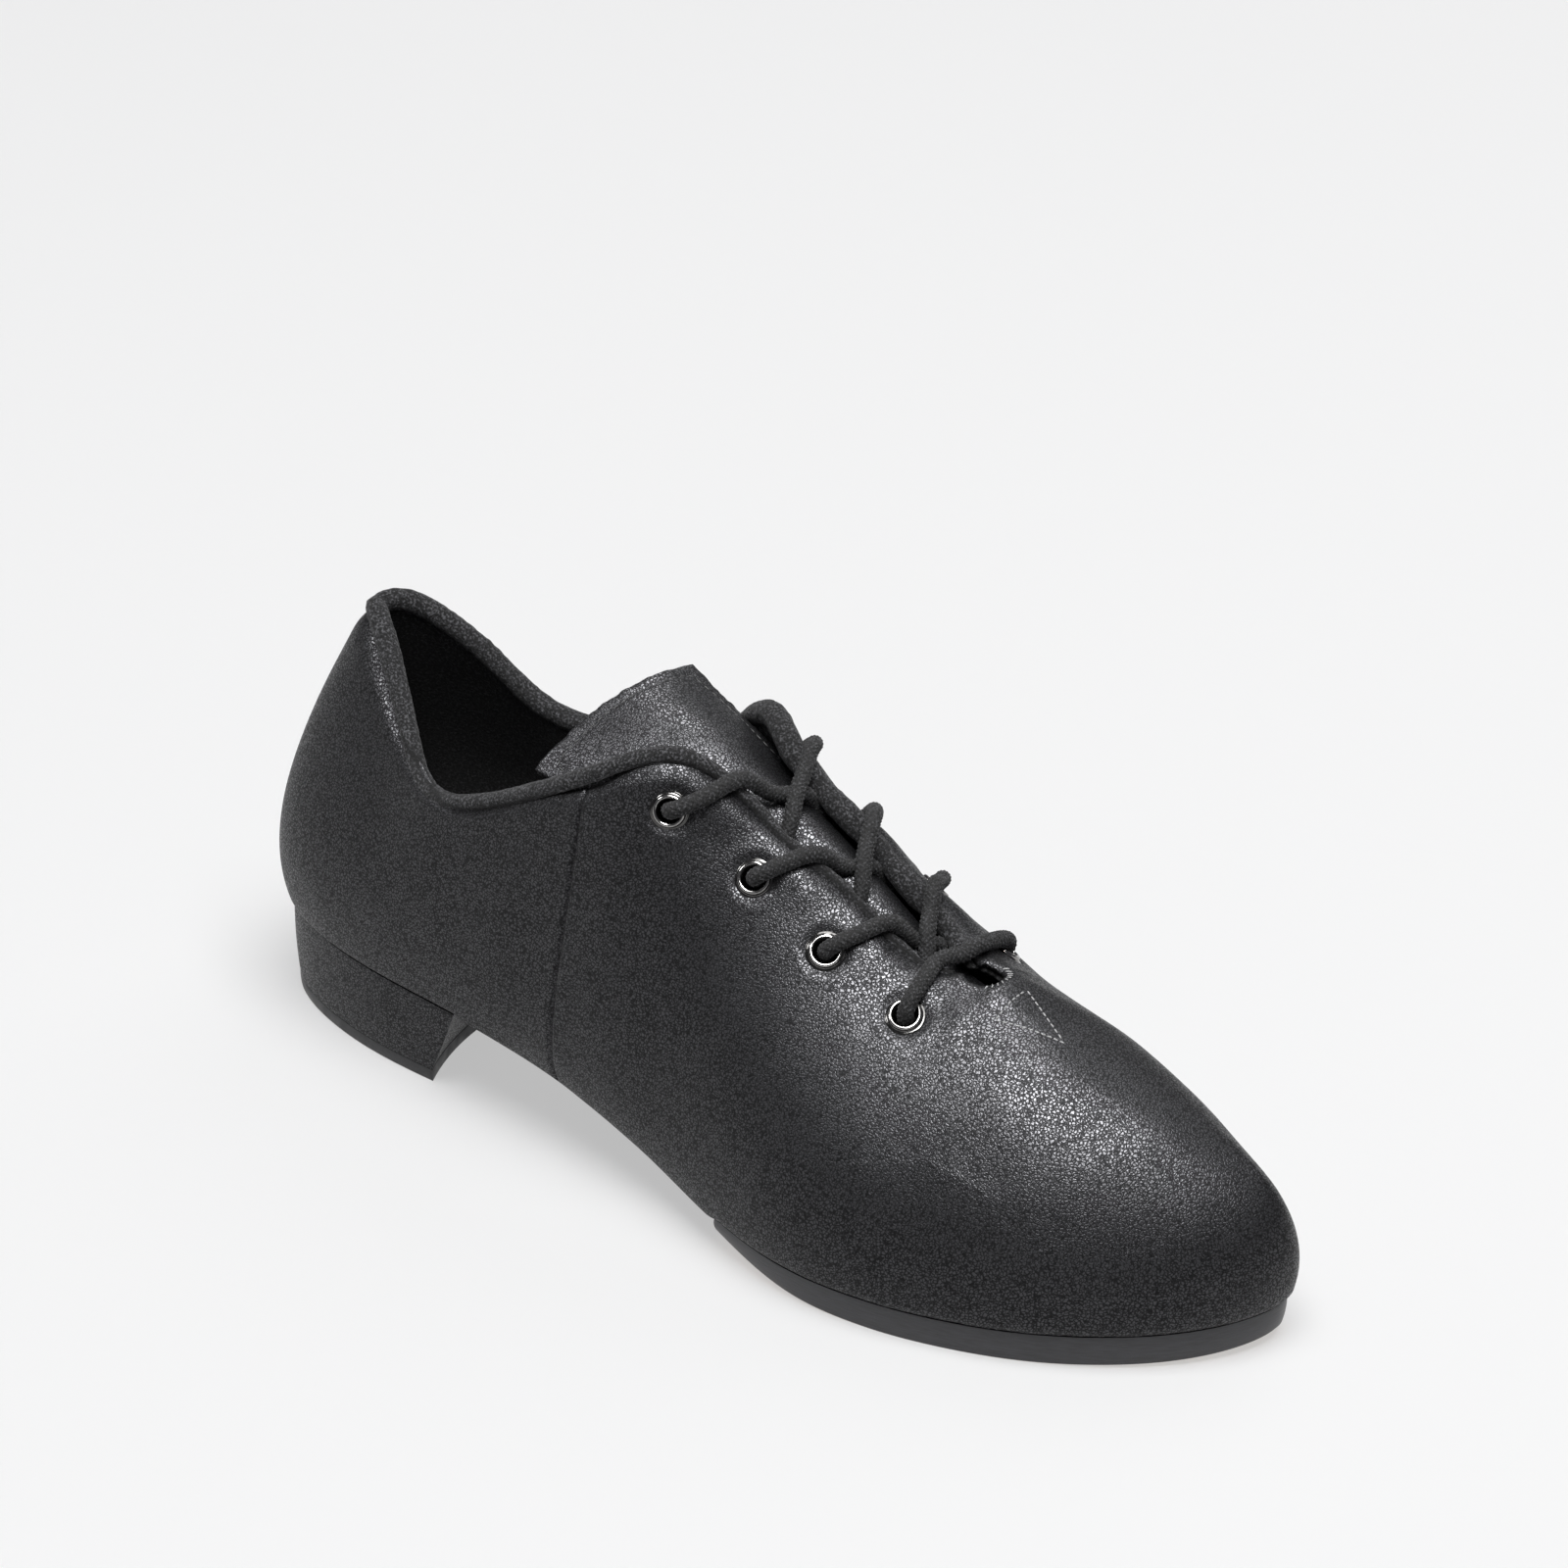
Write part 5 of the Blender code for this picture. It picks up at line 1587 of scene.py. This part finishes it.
THROAT_TRIANGLE = ((194.3, 1.2), (207.2, -2.65), (193.6, -9.0), (194.3, 1.2))


def stitching(upper_tree, dull, pale):
    """The overcast end of the throat and the sewn triangle in front of it."""
    rows = (
        ("throat_stitches", throat_arc(), pale, dict(pitch=1.2, thick=0.36, fill=1.15, slant=62.0)),
        ("triangle_stitches_front", THROAT_TRIANGLE[:2], pale, dict(pitch=1.5, thick=0.36)),
        ("triangle_stitches_sides", THROAT_TRIANGLE[1:], dull, dict(pitch=1.4, thick=0.4)),
    )
    for name, outline, shade, sizes in rows:
        line = dropped_on(upper_tree, outline)
        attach(stitches(name, line, upper_tree, shade, "black_leather", **sizes), "forefoot")


def tongue_stitches(shade):
    points, faces, near = tongue_surface()
    grid = points.reshape(TONGUE_ROWS, TONGUE_COLUMNS, 3)
    distance = near.reshape(TONGUE_ROWS, TONGUE_COLUMNS)
    first_row = TONGUE_ROWS // 3
    line = [grid[i, int(np.argmax(distance[i] >= TONGUE_STITCH))] for i in range(first_row, TONGUE_ROWS)
            if distance[i].max() >= TONGUE_STITCH]
    last = max(i for i in range(TONGUE_ROWS) if distance[i].max() >= TONGUE_STITCH)
    columns = np.nonzero(distance[last] >= TONGUE_STITCH)[0]
    line += [grid[last, j] for j in range(columns[0], columns[-1] + 1)]
    line += [grid[i, TONGUE_COLUMNS - 1 - int(np.argmax(distance[i, ::-1] >= TONGUE_STITCH))]
             for i in range(last, first_row, -1)]
    item = stitches("tongue_stitches", np.array(line), tree_of(points, faces), shade, "black_leather",
                    pitch=2.2, thick=0.36)
    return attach(item, "tongue_flap")


# ---------------------------------------------------------------- CAD nodes that stay

def finish_cad_nodes(nodes):
    """Better materials for the inner nodes that keep their CAD shape."""
    board = board_material()
    kept = {
        board: ("heel_counter", "toe_puff", "heel_insole_board", "forefoot_insole_board"),
        cork_material(): ("heel_filler", "forefoot_filler"),
        nail_material(): tuple(f"heel_nail_{number}" for number in range(1, 6)),
    }
    slots = ("fibre_board", "cork", "nail_steel")
    for (shade, names), slot in zip(kept.items(), slots):
        for name in names:
            nodes[name].data.materials.clear()
            nodes[name].data.materials.append(shade)


# ---------------------------------------------------------------- studio

CAMERA_AZIMUTH = 36.0
CAMERA_ELEVATION = 32.2
CAMERA_ROLL = 2.2
CAMERA_DISTANCE = 1.5
CAMERA_LENS = 160.1
SENSOR_WIDTH = 36.0
LOOK_POINT = (0.104, 0.0, 0.045)
LOOK_RIGHT = 0.0023          # the look point lies this far right of the frame's middle
LOOK_DOWN = 0.0415           # and this far below it
WORLD_GREY = (0.15, 0.15, 0.16, 1.0)
FLOOR_GLOW = 0.48            # the floor's own light, which keeps shadows faint
FLOOR_HALF = 6.0
FLOOR_DROP = 0.0002          # how far the floor lies below the shoe, so the two don't flicker
# Lights: name, position, target, width and height, watts, and whether only reflections see it.
SOFTBOXES = (
    ("overhead", (0.40, -0.27, 1.97), (0.24, -0.10, 0.0), (1.42, 1.04), 37.5, False),
    ("key_glint", (0.78, -0.76, 1.97), (0.15, 0.0, 0.05), (1.0, 0.9), 108.0, True),
    ("back_glint", (-0.55, 0.80, 1.97), (0.05, 0.0, 0.1), (0.6, 0.7), 33.0, True),
    ("collar_glint", (-1.35, -1.6, 1.85), (-0.02, 0.0, 0.09), (0.6, 0.6), 40.0, True),
    ("back_strip", (0.1, 1.5, 0.75), (0.10, 0.0, 0.03), (1.2, 0.4), 1.5, False),
    ("floor_fill", (-0.1, 1.3, 1.6), (-0.1, 0.9, 0.0), (1.6, 1.2), 5.0, False),
)


def camera():
    azimuth, elevation, roll = map(math.radians, (CAMERA_AZIMUTH, CAMERA_ELEVATION, CAMERA_ROLL))
    back = Vector((math.sin(azimuth) * math.cos(elevation), -math.cos(azimuth) * math.cos(elevation),
                   math.sin(elevation)))
    level = Vector((math.cos(azimuth), math.sin(azimuth), 0.0))
    rise = back.cross(level)
    right = level * math.cos(roll) + rise * math.sin(roll)
    up = rise * math.cos(roll) - level * math.sin(roll)
    eye = Vector(LOOK_POINT) + back * CAMERA_DISTANCE
    aim = Vector(LOOK_POINT) - right * LOOK_RIGHT + up * LOOK_DOWN
    forward = (aim - eye).normalized()
    right = (right - forward * right.dot(forward)).normalized()
    true_up = right.cross(forward)
    data = bpy.data.cameras.new("photo_camera")
    data.lens = CAMERA_LENS
    data.sensor_width = SENSOR_WIDTH
    data.clip_end = 20.0
    item = bpy.data.objects.new("photo_camera", data)
    bpy.context.scene.collection.objects.link(item)
    turn = Matrix((right, true_up, -forward)).transposed()
    item.matrix_world = Matrix.Translation(eye) @ turn.to_4x4()
    bpy.context.scene.camera = item


def softbox(name, position, target, size, power, glints_only):
    data = bpy.data.lights.new(name, "AREA")
    data.shape = "RECTANGLE"
    data.size, data.size_y = size
    data.energy = power
    item = bpy.data.objects.new(name, data)
    bpy.context.scene.collection.objects.link(item)
    item.location = position
    item.rotation_euler = (Vector(position) - Vector(target)).to_track_quat("Z", "Y").to_euler()
    item.visible_diffuse = not glints_only


def studio():
    world = bpy.data.worlds.new("studio_world")
    world.use_nodes = True
    world.node_tree.nodes["Background"].inputs["Color"].default_value = WORLD_GREY
    bpy.context.scene.world = world
    bpy.context.scene.view_settings.view_transform = "Standard"
    for light in SOFTBOXES:
        softbox(*light)
    floor_plane()


def floor_plane():
    mesh = bpy.data.meshes.new("floor")
    corners = [(x * FLOOR_HALF, y * FLOOR_HALF, 0) for x, y in ((-1, -1), (1, -1), (1, 1), (-1, 1))]
    mesh.from_pydata(corners, [], [(0, 1, 2, 3)])
    mesh.materials.append(floor_material())
    floor = bpy.data.objects.new("floor", mesh)
    floor.location.z = -FLOOR_DROP
    bpy.context.scene.collection.objects.link(floor)


def main():
    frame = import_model()
    camera()
    studio()

    leather = leather_material("black_pebbled_leather")
    heel_leather = leather_material("heel_cover_leather", grain=0.7, depth=0.012)
    knit = knit_material("knit_roll_pile")
    lining_knit = knit_material("lining_pile", pile=0.5, tint=0.014)
    sock_knit = knit_material("sock_fabric", pile=0.5, tint=0.009)
    dark_thread = thread_material("black_thread", 0.02)
    pale_thread = thread_material("grey_thread", 0.5)
    metal = metal_material()

    surface_points, surface_faces, painted_shade = leather_surface()
    upper_tree = tree_of(surface_points, surface_faces)
    upper(surface_points, surface_faces, painted_shade, leather)
    lining(lining_knit)
    knit_roll(knit)
    tongue_piece(leather)
    tongue_backing(lining_knit)
    tongue_stitches(dark_thread)
    lace_piece(upper_tree, lace_material())
    for side in SIDES:
        for number in range(1, len(EYELET_STATIONS) + 1):
            eyelet_piece(side, number, metal)
    heel_cover(heel_leather)
    top_lift(rubber_material())
    fore_sole(sole_edge_material(), suede_material())
    sock_pad(sock_knit)
    stitching(upper_tree, thread_material("dull_thread", 0.45), pale_thread)
    finish_cad_nodes(frame["nodes"])


main()
